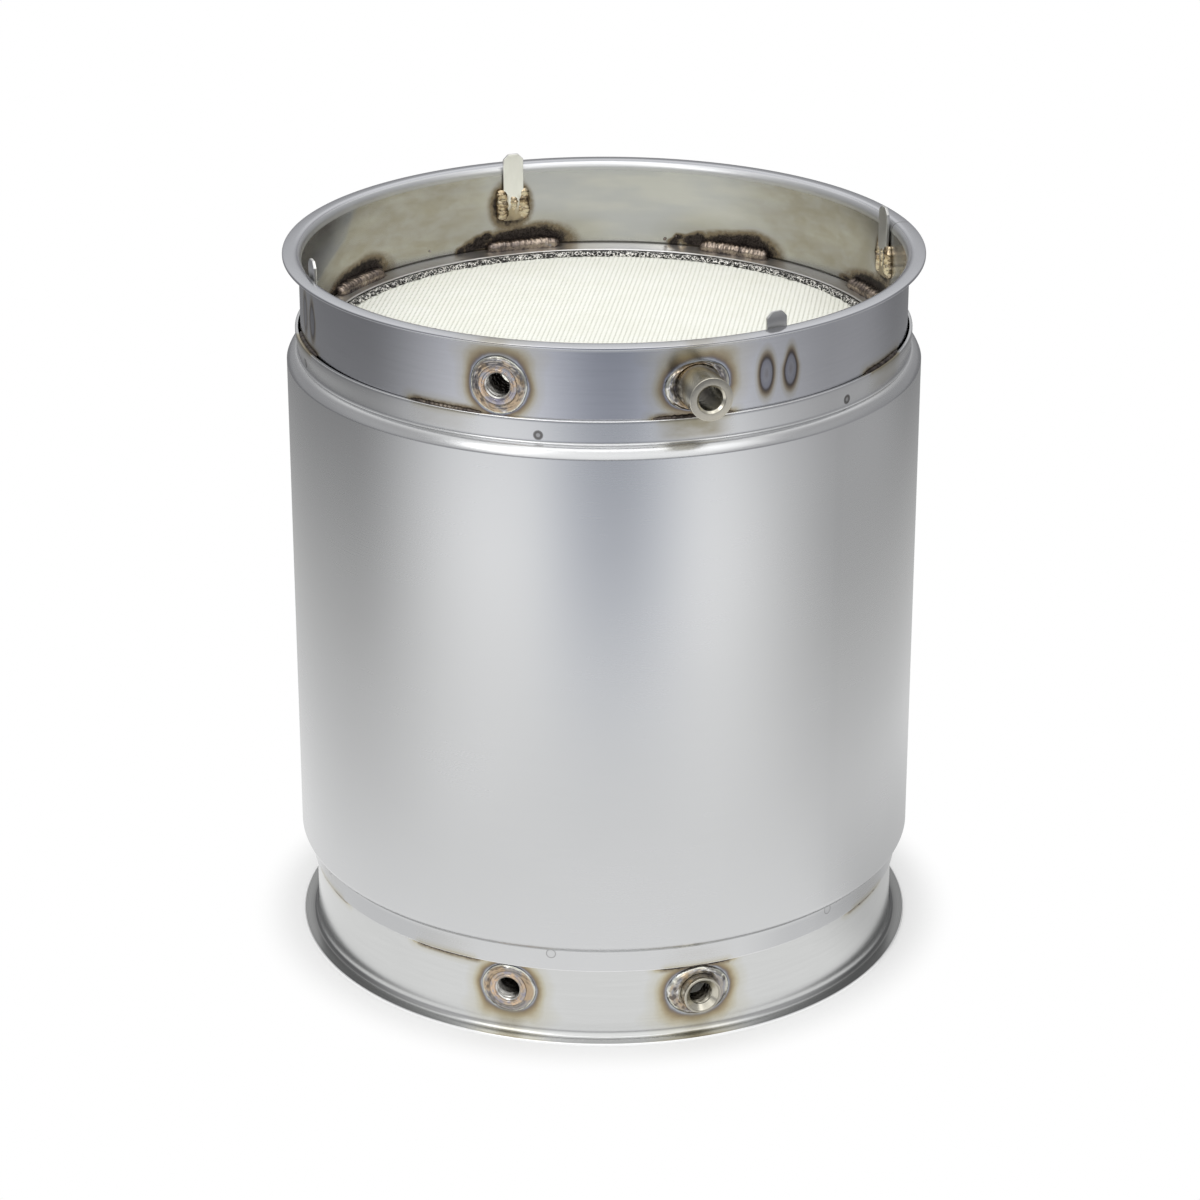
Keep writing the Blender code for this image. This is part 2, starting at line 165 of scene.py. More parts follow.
def around(profile, turns, lift=0.0):
    """Profile of (r, z) carried round the axis to azimuths in degrees, with a lift added to r."""
    return turned(profile[:, :1] + lift, profile[:, 1:], np.radians(turns))


def on_wall(local, azimuth, height):
    """Points given along the wall, up it and out from the axis, turned to an azimuth and raised."""
    a = math.radians(azimuth)
    x, y, z = local[..., 0], local[..., 1], local[..., 2]
    return np.stack([x * math.cos(a) + z * math.sin(a), x * math.sin(a) - z * math.cos(a), y + height], -1)


def flipped(points, side):
    """Points mirrored to the lower end where side is -1."""
    return points * np.array([1, 1, side])


def outward(points, faces):
    """Faces turned so that the skin holds a positive volume, summed from the corners' triple products."""
    volume = 0.0
    for f in faces:
        for k in range(1, f.shape[1] - 1):
            volume += np.einsum("ij,ij->", points[f[:, 0]], np.cross(points[f[:, k]], points[f[:, k + 1]]))
    return [f[:, ::-1] for f in faces] if volume < 0 else faces


def piece(name, skins, finish, slot, *nodes, crease=32):
    """Mesh object from closed skins, riding on the canister and standing for the solids named."""
    points, faces, count = [], [], 0
    for skin_points, skin_faces in skins:
        for f in outward(skin_points, skin_faces):
            faces += (f + count).tolist()
        points.append(skin_points)
        count += len(skin_points)
    mesh = bpy.data.meshes.new(name)
    mesh.from_pydata(np.concatenate(points), [], faces)
    mesh.shade_smooth()
    mesh.set_sharp_from_angle(angle=math.radians(crease))
    obj = bpy.data.objects.new(name, mesh)
    bpy.context.collection.objects.link(obj)
    mesh.materials.append(finish)
    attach(obj, "root")
    if nodes:
        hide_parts(*nodes)
    return obj


def drilled(obj, cutters):
    """Cut closed skins out of a piece, and keep the cut mesh."""
    holes = []
    for points, faces in cutters:
        mesh = bpy.data.meshes.new("hole")
        mesh.from_pydata(points, [], sum([f.tolist() for f in outward(points, faces)], []))
        hole = bpy.data.objects.new("hole", mesh)
        bpy.context.collection.objects.link(hole)
        modifier = obj.modifiers.new("hole", "BOOLEAN")
        modifier.operation = "DIFFERENCE"
        modifier.solver = "EXACT"
        modifier.object = hole
        holes.append(hole)
    bpy.context.view_layer.update()
    cut = bpy.data.meshes.new_from_object(obj.evaluated_get(bpy.context.evaluated_depsgraph_get()))
    obj.modifiers.clear()
    obj.data = cut
    for hole in holes:
        bpy.data.objects.remove(hole, do_unlink=True)
    return obj


def polar(obj):
    """Azimuth in degrees, radius and height of every point of a piece."""
    co = np.zeros(len(obj.data.vertices) * 3, np.float32)
    obj.data.vertices.foreach_get("co", co)
    x, y, z = co.reshape(-1, 3).T.astype(float)
    return np.degrees(np.arctan2(x, -y)), np.hypot(x, y), z


def notes(obj, **kept):
    """Keep one number per point of a piece under each name, for its material to read."""
    for name, values in kept.items():
        layer = obj.data.attributes.new(name, "FLOAT", "POINT")
        layer.data.foreach_set("value", np.broadcast_to(values, len(obj.data.vertices)).astype(np.float32))


# Materials


class Value:
    """A socket's output that can be used in arithmetic."""

    def __init__(self, graph, socket):
        self.graph = graph
        self.socket = socket

    def math(self, operation, *others):
        """Add a Math node that works on this value and the others."""
        values = dict(enumerate((self,) + others))
        return self.graph.node("ShaderNodeMath", {"operation": operation}, values)

    def __add__(self, other):
        return self.math("ADD", other)

    def __sub__(self, other):
        return self.math("SUBTRACT", other)

    def __mul__(self, other):
        return self.math("MULTIPLY", other)

    def __truediv__(self, other):
        return self.math("DIVIDE", other)

    def __rsub__(self, other):
        return self.graph.node("ShaderNodeMath", {"operation": "SUBTRACT"}, {0: other, 1: self})

    def __pow__(self, other):
        return self.math("POWER", other)

    def __neg__(self):
        return self.math("MULTIPLY", -1.0)

    def __abs__(self):
        return self.math("ABSOLUTE")

    __radd__ = __add__
    __rmul__ = __mul__

    def step(self, low, high, start=0.0, end=1.0):
        """Smooth change from start to end as the value goes from low to high."""
        return self.graph.node("ShaderNodeMapRange", {"interpolation_type": "SMOOTHSTEP"},
                               {0: self, 1: low, 2: high, 3: start, 4: end})


class Graph:
    """The node tree of one material, with its shader."""

    def __init__(self, name, tree=None):
        if tree is None:
            self.material = bpy.data.materials.new(name)
            self.material.use_nodes = True
            tree = self.material.node_tree
        tree.nodes.clear()
        self.tree = tree
        self.kept = {}

    def node(self, kind, settings=None, values=None, out=0):
        """Add a node: its type, its settings, its sockets' values or links, and the output that is wanted."""
        made = self.tree.nodes.new(kind)
        for key, setting in (settings or {}).items():
            if key == "stops":
                while len(made.color_ramp.elements) < len(setting):
                    made.color_ramp.elements.new(0.5)
                for element, (place, colour) in zip(made.color_ramp.elements, setting):
                    element.position = place
                    element.color = (*colour, 1)
            else:
                setattr(made, key, setting)
        for key, value in (values or {}).items():
            if isinstance(value, Value):
                self.tree.links.new(value.socket, made.inputs[key])
            else:
                made.inputs[key].default_value = value
        return Value(self, made.outputs[out]) if made.outputs else None

    def once(self, key, make):
        """Make a value the first time that it is asked for, and give the same one afterwards."""
        if key not in self.kept:
            self.kept[key] = make()
        return self.kept[key]

    @property
    def place(self):
        """Object coordinates."""
        return self.once("place", lambda: self.node("ShaderNodeTexCoord", out="Object"))

    @property
    def xyz(self):
        """The three object coordinates, each by itself."""
        first = self.once("xyz", lambda: self.node("ShaderNodeSeparateXYZ", None, {0: self.place}))
        return [Value(self, s) for s in first.socket.node.outputs]

    @property
    def azimuth(self):
        """Azimuth in degrees."""
        x, y = self.xyz[:2]
        return self.once("azimuth", lambda: x.math("ARCTAN2", -y) * math.degrees(1))

    @property
    def radius(self):
        """Distance from the axis."""
        x, y = self.xyz[:2]
        return self.once("radius", lambda: ((x ** 2) + (y ** 2)).math("SQRT"))

    def vector(self, x, y, z):
        """Vector of three values."""
        return self.node("ShaderNodeCombineXYZ", None, {0: x, 1: y, 2: z})

    def scaled(self, factors):
        """Object coordinates stretched along each axis."""
        return self.node("ShaderNodeVectorMath", {"operation": "MULTIPLY"}, {0: self.place, 1: factors})

    def noise(self, scale, vector=None, detail=3.0, roughness=0.55):
        """Noise texture in the object's coordinates, or along a vector."""
        values = {"Vector": vector or self.place, "Scale": scale, "Detail": detail, "Roughness": roughness}
        return self.node("ShaderNodeTexNoise", None, values)

    def tinted(self, base, colour):
        """Base multiplied by a colour."""
        return self.mix(1.0, base, colour, "MULTIPLY")

    def dimmed(self, base, tone):
        """Base multiplied by one number."""
        return self.tinted(base, self.vector(tone, tone, tone))

    def noted(self, name):
        """A number kept on the piece's points."""
        return self.node("ShaderNodeAttribute", {"attribute_name": name}, out="Fac")

    def ramp(self, value, *stops):
        """Colour that a value from 0 to 1 has on a ramp of (place, colour) stops."""
        return self.node("ShaderNodeValToRGB", {"stops": stops}, {0: value})

    def mix(self, factor, first, second, blend="MIX"):
        """Mix two colours, each a tuple or a value."""
        first = (*first, 1) if isinstance(first, tuple) else first
        second = (*second, 1) if isinstance(second, tuple) else second
        return self.node("ShaderNodeMix", {"data_type": "RGBA", "blend_type": blend},
                         {0: factor, 6: first, 7: second}, 2)

    def shade(self, colour, rough, metal, height, depth):
        """Close the material: what varies goes in by links, and a height feeds one Bump node."""
        bump = self.node("ShaderNodeBump", None, {"Strength": 1.0, "Distance": depth, "Height": height})
        values = {"Base Color": colour, "Roughness": rough, "Metallic": metal, "Normal": bump}
        shader = self.node("ShaderNodeBsdfPrincipled", None, values)
        self.node("ShaderNodeOutputMaterial", None, {0: shader})
        return self.material


# Colours that heat leaves on stainless steel, from the weld's toe outwards, over 10 mm
TEMPER = ((0.0, (0.66, 0.68, 0.70)), (0.03, (0.46, 0.47, 0.52)), (0.07, (0.33, 0.28, 0.25)),
          (0.13, (0.44, 0.35, 0.23)), (0.21, (0.62, 0.52, 0.35)), (0.32, (0.82, 0.76, 0.60)),
          (0.48, (0.94, 0.92, 0.85)), (0.85, (1.0, 1.0, 1.0)))

# Colours of an oval burn, from its middle outwards: bluish grey, a dark outline, a straw fringe
BURN = ((0.0, (0.44, 0.42, 0.42)), (0.20, (0.53, 0.53, 0.56)), (0.38, (0.44, 0.44, 0.48)),
        (0.46, (0.17, 0.15, 0.14)), (0.53, (0.30, 0.24, 0.18)), (0.61, (0.58, 0.50, 0.38)),
        (0.72, (0.88, 0.85, 0.77)), (0.90, (1.0, 1.0, 1.0)))

# Tones of fused metal, from the hollows of its patches to their crests
STITCH_TONES = ((0.30, (0.06, 0.05, 0.05)), (0.42, (0.20, 0.165, 0.145)), (0.52, (0.34, 0.275, 0.225)),
                (0.62, (0.47, 0.39, 0.31)), (0.72, (0.26, 0.26, 0.31)))
TAB_SEAM_TONES = ((0.30, (0.08, 0.06, 0.045)), (0.41, (0.30, 0.22, 0.13)), (0.50, (0.58, 0.47, 0.31)),
                  (0.60, (0.72, 0.64, 0.47)), (0.72, (0.34, 0.24, 0.17)))
COLLAR_SEAM_TONES = ((0.30, (0.03, 0.026, 0.024)), (0.48, (0.09, 0.075, 0.068)), (0.62, (0.19, 0.16, 0.13)),
                     (0.75, (0.34, 0.30, 0.26)))


def spot_welded(g, base, height, spots):
    """Rows of spot welds round the collars, each a dark ring and middle in a dent, and a painted highlight
    along the collars' front edge."""
    z = g.xyz[2]
    for level, first, gap, ring_tone, middle_tone in spots:
        turns = (g.azimuth - first) / gap
        across = (turns - turns.math("ROUND")) * (gap * math.radians(1) * COLLAR)
        away = ((across ** 2) + ((z - level) ** 2)).math("SQRT") * 1000
        outline = away.step(2.0, 2.35) * away.step(2.4, 2.8, 1, 0)
        disc = away.step(0.5, 1.5, 0.45, 1.0) * away.step(2.0, 2.5, 1, 0)
        middle = away.step(0.3, 0.8, 1, 0)
        base = g.mix(disc * ring_tone, base, (0.13, 0.125, 0.12))
        base = g.mix(outline * 0.55, base, (0.11, 0.105, 0.10))
        base = g.mix(middle * middle_tone, base, (0.20, 0.195, 0.19))
        height = height - away.step(1.7, 2.3, 1, 0) * 2.0
    # Painted highlight: a bright line along the collars' top edge, over the front only.
    lip = abs(z).step(COLLAR_END - 0.0006, COLLAR_END - 0.0002) * abs(g.azimuth).step(36, 60, 0.9, 0.0)
    base = g.mix(lip, base, (0.95, 0.95, 0.95))
    return base, height


def flare_shaded(g, base, flare_side_shade):
    """Concentric grooves on the flared rim, with painted shade that darkens it to the sides, towards the
    right and over the inner part of its flat, and a painted highlight along its cut edge.
    """
    radius = g.radius
    grooves = g.noise(1.0, g.vector(radius * 2600, 0.0, 0.0), 2, 0.5)
    # Painted shade by azimuth and radius; only the grooves are the rim's own.
    aside = abs(g.azimuth).step(22, 58)
    tone = (0.94 + aside * (flare_side_shade - 0.94)) * g.azimuth.step(24, 60, 1.0, 0.80)
    tone = tone * grooves.step(0.3, 0.7, 0.74, 1.20) * radius.step(RING + 0.003, RING + 0.0055, 0.78, 1.0)
    bend = radius.step(RING + 0.0001, RING + 0.0012) * aside
    flat = radius.step(RING + 0.0022, RING + 0.0034)
    base = g.mix(1 - (1 - bend) * (1 - flat), base, g.dimmed(base, tone))
    # Painted highlight along the rim's outer edge.
    base = g.mix(radius.step(RIM - 0.0007, RIM - 0.0004), base, (0.93, 0.93, 0.93))
    return base


def rolled_steel(name, colour, rough, grain=0.006, inner=None, spots=(), seam=None, shaded_crevice=None, flare_side_shade=None):
    """Satin sheet: streaks along the rolling direction, and temper colours, burns, straw patches, soot and
    painted shade where the piece's notes have them."""
    g = Graph(name)
    z = g.xyz[2]
    radius = g.radius
    streaks = g.noise(34, g.scaled((1, 1, 26)), 4, 0.6)
    cloud = g.noise(11, None, 3, 0.5)
    fine = g.noise(420, g.scaled((1, 1, 5)), 2, 0.6)
    wander = g.noise(150, None, 4, 0.65)
    blotch = g.noise(52, None, 4, 0.6)
    shade = streaks.step(0.3, 0.7, 1 - grain, 1 + grain / 2) * cloud.step(0.3, 0.7, 0.985, 1.01)
    drift = g.noise(21, g.scaled((1, 1, 3.5)), 3, 0.5).step(0.36, 0.64)
    base = g.mix(radius.step(RING - 0.0012, RING - 0.0006), g.mix(drift, *inner), colour) if inner else colour
    base = g.dimmed(base, shade)
    heat = g.noted("edge") + (wander - 0.5) * 0.09 + (blotch - 0.5) * 0.22
    base = g.tinted(base, g.ramp(heat, *TEMPER))
    base = g.tinted(base, g.ramp((g.noted("burn") + (wander - 0.5) * 0.10) / 2, *BURN))
    straw = g.noted("straw") * g.noise(60, g.scaled((1, 1, 2.2)), 5, 0.6).step(0.25, 0.72, 0.55, 1.0)
    base = g.mix(straw, base, (0.31, 0.275, 0.185))
    # The darkened note: painted shade on the left of the upper ring's inside, and darker over 24 to 80
    # degrees each side of the front of the lower collar.
    base = g.mix(g.noted("cool"), base, g.tinted(base, (0.55, 0.555, 0.57)))
    laid = g.noted("soot")
    grime = g.noise(330, None, 4, 0.7)
    soot = laid + ((blotch - 0.5) * 0.75 + (grime - 0.5) * 0.95) * laid.step(0.03, 0.75)
    charred = soot.step(0.52, 0.88)
    ash = g.noise(1100, None, 3, 0.7) * 0.6 + grime * 0.4
    base = g.mix(soot.step(0.10, 0.55), base, (0.205, 0.165, 0.115))
    base = g.mix(charred, base, g.mix(ash.step(0.42, 0.60), (0.022, 0.018, 0.017), (0.070, 0.058, 0.052)))
    rough_now = rough + (streaks - 0.5) * 0.02 + (cloud - 0.5) * 0.02 + charred * 0.25 + straw * 0.05
    if inner:
        # Painted sheen: a lighter, rougher band at the top of the inner wall just below the rim's bend, where
        # a dark reflected line fell; the bend above is smoother.
        hollow = z.step(0.1862, 0.1876) * radius.step(BORE + 0.0014, BORE + 0.0024, 1, 0)
        base = g.mix(hollow * 0.55, base, (0.70, 0.705, 0.705))
        rough_now = rough_now + hollow * 0.22 - z.step(0.1888, 0.1894) * 0.08
    height = streaks * 0.10 + fine * 0.15
    if spots:
        base, height = spot_welded(g, base, height, spots)
    if seam is not None:
        away = abs(g.azimuth - seam) * (math.radians(1) * RING * 1000)
        base = g.mix(away.step(0.15, 0.55, 0.7, 0.0), base, (0.10, 0.085, 0.07))
    # Painted shade: a black line in the crevice where the retaining ring's band meets the inside of the wall,
    # and black over the outside of the wall that the collar covers.
    if shaded_crevice is not None:
        away = abs(abs(z) - shaded_crevice) * 1000
        inside = radius.step(BORE + 0.0005, BORE + 0.0008, 1, 0)
        base = g.mix(away.step(0.25, 0.65, 0.75, 0.0) * inside, base, (0.02, 0.018, 0.016))
        covered = abs(z).step(COLLAR_END - 0.0002, COLLAR_END, 1, 0) * (1 - inside)
        base = g.mix(covered, base, (0.01, 0.01, 0.01))
    # Painted shade and highlight on the lower rim's flare.
    if flare_side_shade is not None:
        base = flare_shaded(g, base, flare_side_shade)
    return g.shade(base, rough_now, 1.0, height, 0.0000004)


def weld_metal(name, stops, scale, rough):
    """Fused metal: temper colours in drifting patches, a painted highlight on the crests of its ripples and
    painted shade in their troughs.
    """
    g = Graph(name)
    patches = g.noise(scale, None, 4, 0.62)
    specks = g.noise(900, None, 3, 0.6)
    crest = g.noted("crest")
    tone = patches + (specks - 0.5) * 0.14
    base = g.ramp(tone, *stops)
    # Painted highlight where the crest note is high, painted shade where it is low.
    base = g.mix(crest.step(0.50, 1.2) * 0.45, base, (0.78, 0.74, 0.68))
    base = g.mix(crest.step(-0.05, 0.30, 0.70, 0.0), base, (0.04, 0.035, 0.04))
    return g.shade(base, rough + (specks - 0.5) * 0.2, 1.0, specks * 0.5 + patches, 0.00010)


def collar_metal(name):
    """Weld round a boss: bands of colour from the boss to the toe, broken up by drifting patches, with a
    painted highlight along the toe and on its lumps, and painted shade between them.
    """
    g = Graph(name)
    patches = g.noise(130, None, 4, 0.62)
    specks = g.noise(800, None, 3, 0.6)
    crest = g.noted("crest")
    out = g.noted("share")
    share = out + (patches - 0.5) * (1 - out) * 2.0 + (specks - 0.5) * 0.06
    # The pale stop at 0.88 is a painted highlight along the ridge at the toe.
    banded = g.ramp(share, (0.0, (0.36, 0.33, 0.29)), (0.15, (0.20, 0.19, 0.20)), (0.32, (0.30, 0.28, 0.27)),
                    (0.48, (0.38, 0.35, 0.31)), (0.62, (0.30, 0.30, 0.32)), (0.76, (0.52, 0.50, 0.44)),
                    (0.88, (0.70, 0.70, 0.62)), (0.96, (0.56, 0.60, 0.62)), (1.0, (0.40, 0.40, 0.48)))
    warm = g.noise(58, g.scaled((1, 1, 0.9)), 3, 0.55).step(0.46, 0.56) * out.step(0.72, 0.86, 1.0, 0.15)
    base = g.mix(warm * 0.75, banded, (0.50, 0.37, 0.23))
    # Painted highlight on the lumps' crests, painted shade in their hollows.
    base = g.mix(crest.step(0.62, 1.10) * 0.75, base, (0.88, 0.87, 0.85))
    base = g.mix(crest.step(-0.05, 0.25, 0.75, 0.0), base, (0.07, 0.06, 0.06))
    return g.shade(base, 0.23 + (specks - 0.5) * 0.2, 1.0, specks * 0.6 + patches, 0.00016)


def turned_steel(name, colour, rough, tint):
    """Lathe-cut steel, tempered over its face where it was close to the weld, with painted shade down its
    bore.
    """
    g = Graph(name)
    patches = g.noise(120, None, 4, 0.6)
    fine = g.noise(1500, None, 3, 0.7)
    down = g.noted("down")
    tempered = g.ramp(patches, (0.30, (0.20, 0.19, 0.26)), (0.40, (0.36, 0.33, 0.35)),
                      (0.48, (0.46, 0.37, 0.28)), (0.55, (0.66, 0.47, 0.31)), (0.63, (0.42, 0.42, 0.46)),
                      (0.76, (0.60, 0.56, 0.46)))
    base = g.mix(patches.step(0.3, 0.7), tuple(c * 0.88 for c in colour), colour)
    base = g.mix(down.step(-0.9, -0.3, 0.42, 0.0), base, (0.10, 0.09, 0.08))
    if tint:
        base = g.mix(down.step(0.0, 0.02, tint, 0.0), (0.66, 0.65, 0.62), tempered)
    # Painted shade, near black, deepening down the bore.
    base = g.mix(down.step(0.05, 0.75, 0.0, 0.93), base, (0.03, 0.025, 0.02))
    return g.shade(base, rough + (patches - 0.5) * 0.12 + (fine - 0.5) * 0.10, 1.0, fine, 0.00003)


def tab_steel():
    """Bright flat steel, with painted shade on its outer face, and burnt towards its foot."""
    g = Graph("tab_steel")
    grain = g.noise(260, g.scaled((1, 1, 0.25)), 4, 0.6)
    burnt = g.noted("soot") + (g.noise(240, None, 4) - 0.5) * 0.5
    base = g.mix(grain.step(0.3, 0.7), (0.89, 0.885, 0.84), (0.94, 0.935, 0.89))
    # Painted shade on the outer face, and over all of the right tab.
    base = g.mix(g.noted("back") * 0.85, base, (0.37, 0.37, 0.375))
    base = g.mix(burnt.step(0.25, 0.6), base, (0.40, 0.33, 0.22))
    base = g.mix(burnt.step(0.6, 0.95), base, (0.08, 0.06, 0.05))
    return g.shade(base, grain.step(0.2, 0.8, 0.30, 0.38), 0.92, grain, 0.00001)


def fired_ceramic():
    """Pale ceramic, with painted shade down its channels."""
    g = Graph("fired_cordierite")
    sunk = (FACE - abs(g.xyz[2])) * 1000
    mottle = g.noise(45, None, 4, 0.6)
    grit = g.noise(1400, None, 2, 0.6)
    base = g.mix(mottle.step(0.3, 0.7), (0.905, 0.910, 0.825), (0.935, 0.940, 0.870))
    # Painted shade: slightly darker just below the face, much darker deep down the channels.
    base = g.mix(sunk.step(0.05, 2.0, 0.0, 0.35), base, (0.86, 0.84, 0.74))
    base = g.mix(sunk.step(2.5, 7.5), base, (0.30, 0.28, 0.20))
    return g.shade(base, grit.step(0.2, 0.8, 0.80, 0.92), 0.0, grit, 0.00004)


def knitted_wire():
    """Strands painted bright as highlights along the edges of a tangle of cells, with gaps painted black as
    shade, and dark stretches.
    """
    g = Graph("knitted_wire")
    edges = {"feature": "DISTANCE_TO_EDGE"}
    tangle = g.node("ShaderNodeTexVoronoi", edges, {"Vector": g.place, "Scale": 620.0})
    twist = g.noise(1300, None, 3, 0.6)
    strand = (tangle + (twist - 0.5) * 0.34).step(0.06, 0.20, 1, 0)
    dark = g.noise(480, None, 3, 0.65).step(0.49, 0.56)
    base = g.mix(strand * (1 - dark * 0.92), (0.010, 0.009, 0.008), (0.93, 0.91, 0.86))
    return g.shade(base, 0.34, 0.35, strand, 0.0003)


def ceramic_fibre():
    """Pale felt of the hidden mat and blanket."""
    g = Graph("ceramic_fibre")
    fluff = g.noise(900, g.scaled((1, 1, 0.4)), 5, 0.7)
    base = g.mix(fluff.step(0.3, 0.7), (0.66, 0.64, 0.58), (0.88, 0.87, 0.83))
    return g.shade(base, 0.95, 0.0, fluff, 0.0004)


def build_materials():
    """Every finish. A row of spots is: height, first azimuth, gap, and how dark its ring and middle are."""
    spots = ((0.1436, -11.5, 60.5, 0.95, 0.3), (-0.1421, -9.8, 57.0, 0.05, 0.0))
    walls = (0.495, 0.50, 0.51), (0.57, 0.57, 0.545)
    # The seam is a dark joint; the crevice's height places a line of painted shade.
    joint = {"seam": 104.0, "shaded_crevice": 0.1448}
    return {
        "shield": rolled_steel("satin_shield", (0.62, 0.625, 0.63), 0.27, spots=spots),
        "upper_ring": rolled_steel("rolled_inlet_ring", (0.525, 0.532, 0.560), 0.23, 0.02, walls, **joint),
        "lower_ring": rolled_steel("rolled_outlet_ring", (0.62, 0.625, 0.62), 0.25, 0.02, None, **joint,
                                   flare_side_shade=0.46),
        "retainer": rolled_steel("pressed_ring", (0.80, 0.795, 0.79), 0.32, 0.02),
        "boss_weld": collar_metal("fused_collar"),
        "stitch": weld_metal("fused_stitch", STITCH_TONES, 85, 0.30),
        "tab_weld": weld_metal("fused_tab_seam", TAB_SEAM_TONES, 170, 0.24),
        "collar_weld": weld_metal("fused_collar_seam", COLLAR_SEAM_TONES, 130, 0.36),
        "boss_bright": turned_steel("nickel_steel", (0.63, 0.60, 0.51), 0.22, 0.0),
        "boss_tinted": turned_steel("tempered_steel", (0.50, 0.47, 0.42), 0.26, 0.9),
        "tab": tab_steel(),
        "ceramic": fired_ceramic(),
        "wire": knitted_wire(),
        "fibre": ceramic_fibre(),
        "can": rolled_steel("can_steel", (0.50, 0.50, 0.49), 0.36, 0.03),
    }


# Pieces


def azimuths():
    """Azimuths of a turned piece's columns, closer together over the front."""
    return np.concatenate([np.arange(-180, -57, 0.9), np.arange(-57, 20, 0.55), np.arange(20, 57, 0.42),
                           np.arange(57.0, 179.6, 0.9)])


def ring_profile(wide, tall, droop):
    """Flared ring: bore, elliptic bend up to a crest, a rim that droops from it as the square of the
    distance, an eased edge, and back down the outside to the foot one sheet thickness away. The hidden
    stretches, below the retaining ring inside and below the collar outside, have few points."""
    ease, hidden, shown = 0.0005, 0.005, 0.0013
    retained, covered = 0.1410, 0.1500
    crest, low = BORE + wide, HALF - tall
    out = np.linspace(crest, RIM - ease, 9)[1:]
    fall = HALF - droop * ((out - crest) / (RIM - crest)) ** 2
    edge = (RIM - ease, fall[-1] - ease)
    under = (RIM - ease, fall[-1] - SHEET + ease)
    return joined(run((BORE, FOOT), (BORE, retained), hidden)[:-1], run((BORE, retained), (BORE, low), shown),
                  arc((crest, low), (wide, tall), 180, 90, 14),
                  np.stack([out, fall], -1)[:-1],
                  arc(edge, (ease, ease), 90, 0, 5),
                  arc(under, (ease, ease), 0, -90, 5),
                  np.stack([out, fall - SHEET], -1)[-2::-1],
                  arc((crest, low), (wide - SHEET, tall - SHEET), 90, 180, 12),
                  run((RING, low), (RING, covered), shown - 0.0001)[1:-1],
                  run((RING, covered), (RING, FOOT), hidden))


def arc_gap(azimuth, centre, radius):
    """Distance in mm along the wall from an azimuth, the short way round."""
    return ((azimuth - centre + 180) % 360 - 180) * math.radians(1) * radius * 1000


def drawn_in(boss, angle):
    """Share by which the tall boss's weld stays inside its oval, as the cosine about its upper left."""
    share = 0.11 if boss == BOSSES["upper_pressure_boss"] else 0.0
    return share * np.maximum(np.cos(angle - math.radians(125)), 0)


class WallHeat:
    """What welding leaves on the points of a ring's wall, with heights in mm: each note is the least or the
    greatest of what the welds give."""

    def __init__(self, obj, side):
        azimuth, radius, z = polar(obj)
        self.azimuth, self.z = azimuth, z * side * 1000
        self.outside = radius > (RING + BORE) / 2
        self.kept = {"edge": np.full(len(z), 10.0), "burn": np.full(len(z), 3.0),
                     "straw": np.zeros(len(z)), "soot": np.zeros(len(z))}

    def lower(self, name, values, outside):
        """Bring a note down to the values, on one face of the wall."""
        kept = self.kept[name]
        self.kept[name] = np.where(self.outside == outside, np.minimum(kept, values), kept)

    def lift(self, name, values, outside):
        """Bring a note up to the values, on one face of the wall."""
        kept = self.kept[name]
        self.kept[name] = np.where(self.outside == outside, np.maximum(kept, values), kept)


def boss_heat(wall, boss):
    """Distance from a boss's oval weld outside, shorter above it, and from its foot inside, as the distance
    from an ellipse; and a plume of straw above."""
    u = arc_gap(wall.azimuth, boss.azimuth, RING)
    v = wall.z - abs(boss.height) * 1000
    drawn = 1 - drawn_in(boss, np.arctan2(v, u))
    wide, tall = boss.wide * 1000 * drawn, boss.tall * 1000 * drawn
    away = (np.hypot(u / wide, v / tall) - 1) * np.minimum(wide, tall)
    away = away * (1 - 0.45 * smooth(v, 4, 16)) * (1.15 - 0.3 * smooth(np.abs(u), 4, 15))
    wall.lower("edge", away, True)
    wall.lower("edge", (np.hypot(u / 13, v / 13) - 1) * 9, False)
    wall.lift("straw", 0.45 * smooth(v, 9, 15) * smooth(np.abs(u), 11, 3), True)


def collar_heat(wall, turn):
    """Distance from a stitch on the collar's edge, and a wedge of soot above it."""
    half, end = COLLAR_STITCH_LENGTH * 500, COLLAR_END * 1000
    u = np.abs(arc_gap(wall.azimuth, turn, RING))
    away = np.hypot(np.maximum(u - half, 0), wall.z - end)
    wall.lower("edge", 1.2 + away * 1.1, True)
    wedge = smooth(u, half + 1, half - 3) * smooth(wall.z, end + 5.5, end + 0.5)
    wall.lift("soot", 0.52 * wedge * (wall.z > end), True)


def stitch_soot(wall, turn, side):
    """Elliptic arch of soot over a stitch, taller on one side, with a tail along the band, and straw round
    it."""
    u = arc_gap(wall.azimuth, turn, BORE) * side
    lean = smooth(u, 4, -16)
    arch = np.hypot((u + 1.5) / 26.0, (wall.z - 146.5) / (8.6 + 2.4 * lean))
    tail = 1.05 - np.hypot(np.maximum(np.abs(u - 6) - 22, 0) / 8, (wall.z - 146.2) / 3.2)
    wall.lift("soot", np.maximum(1.95 - 1.40 * arch, tail), False)
    away = np.hypot(np.maximum(np.abs(u) - 20, 0) * 0.6, np.maximum(wall.z - 148.5, 0))
    wall.lift("straw", 0.45 * smooth(away, 22, 6), False)


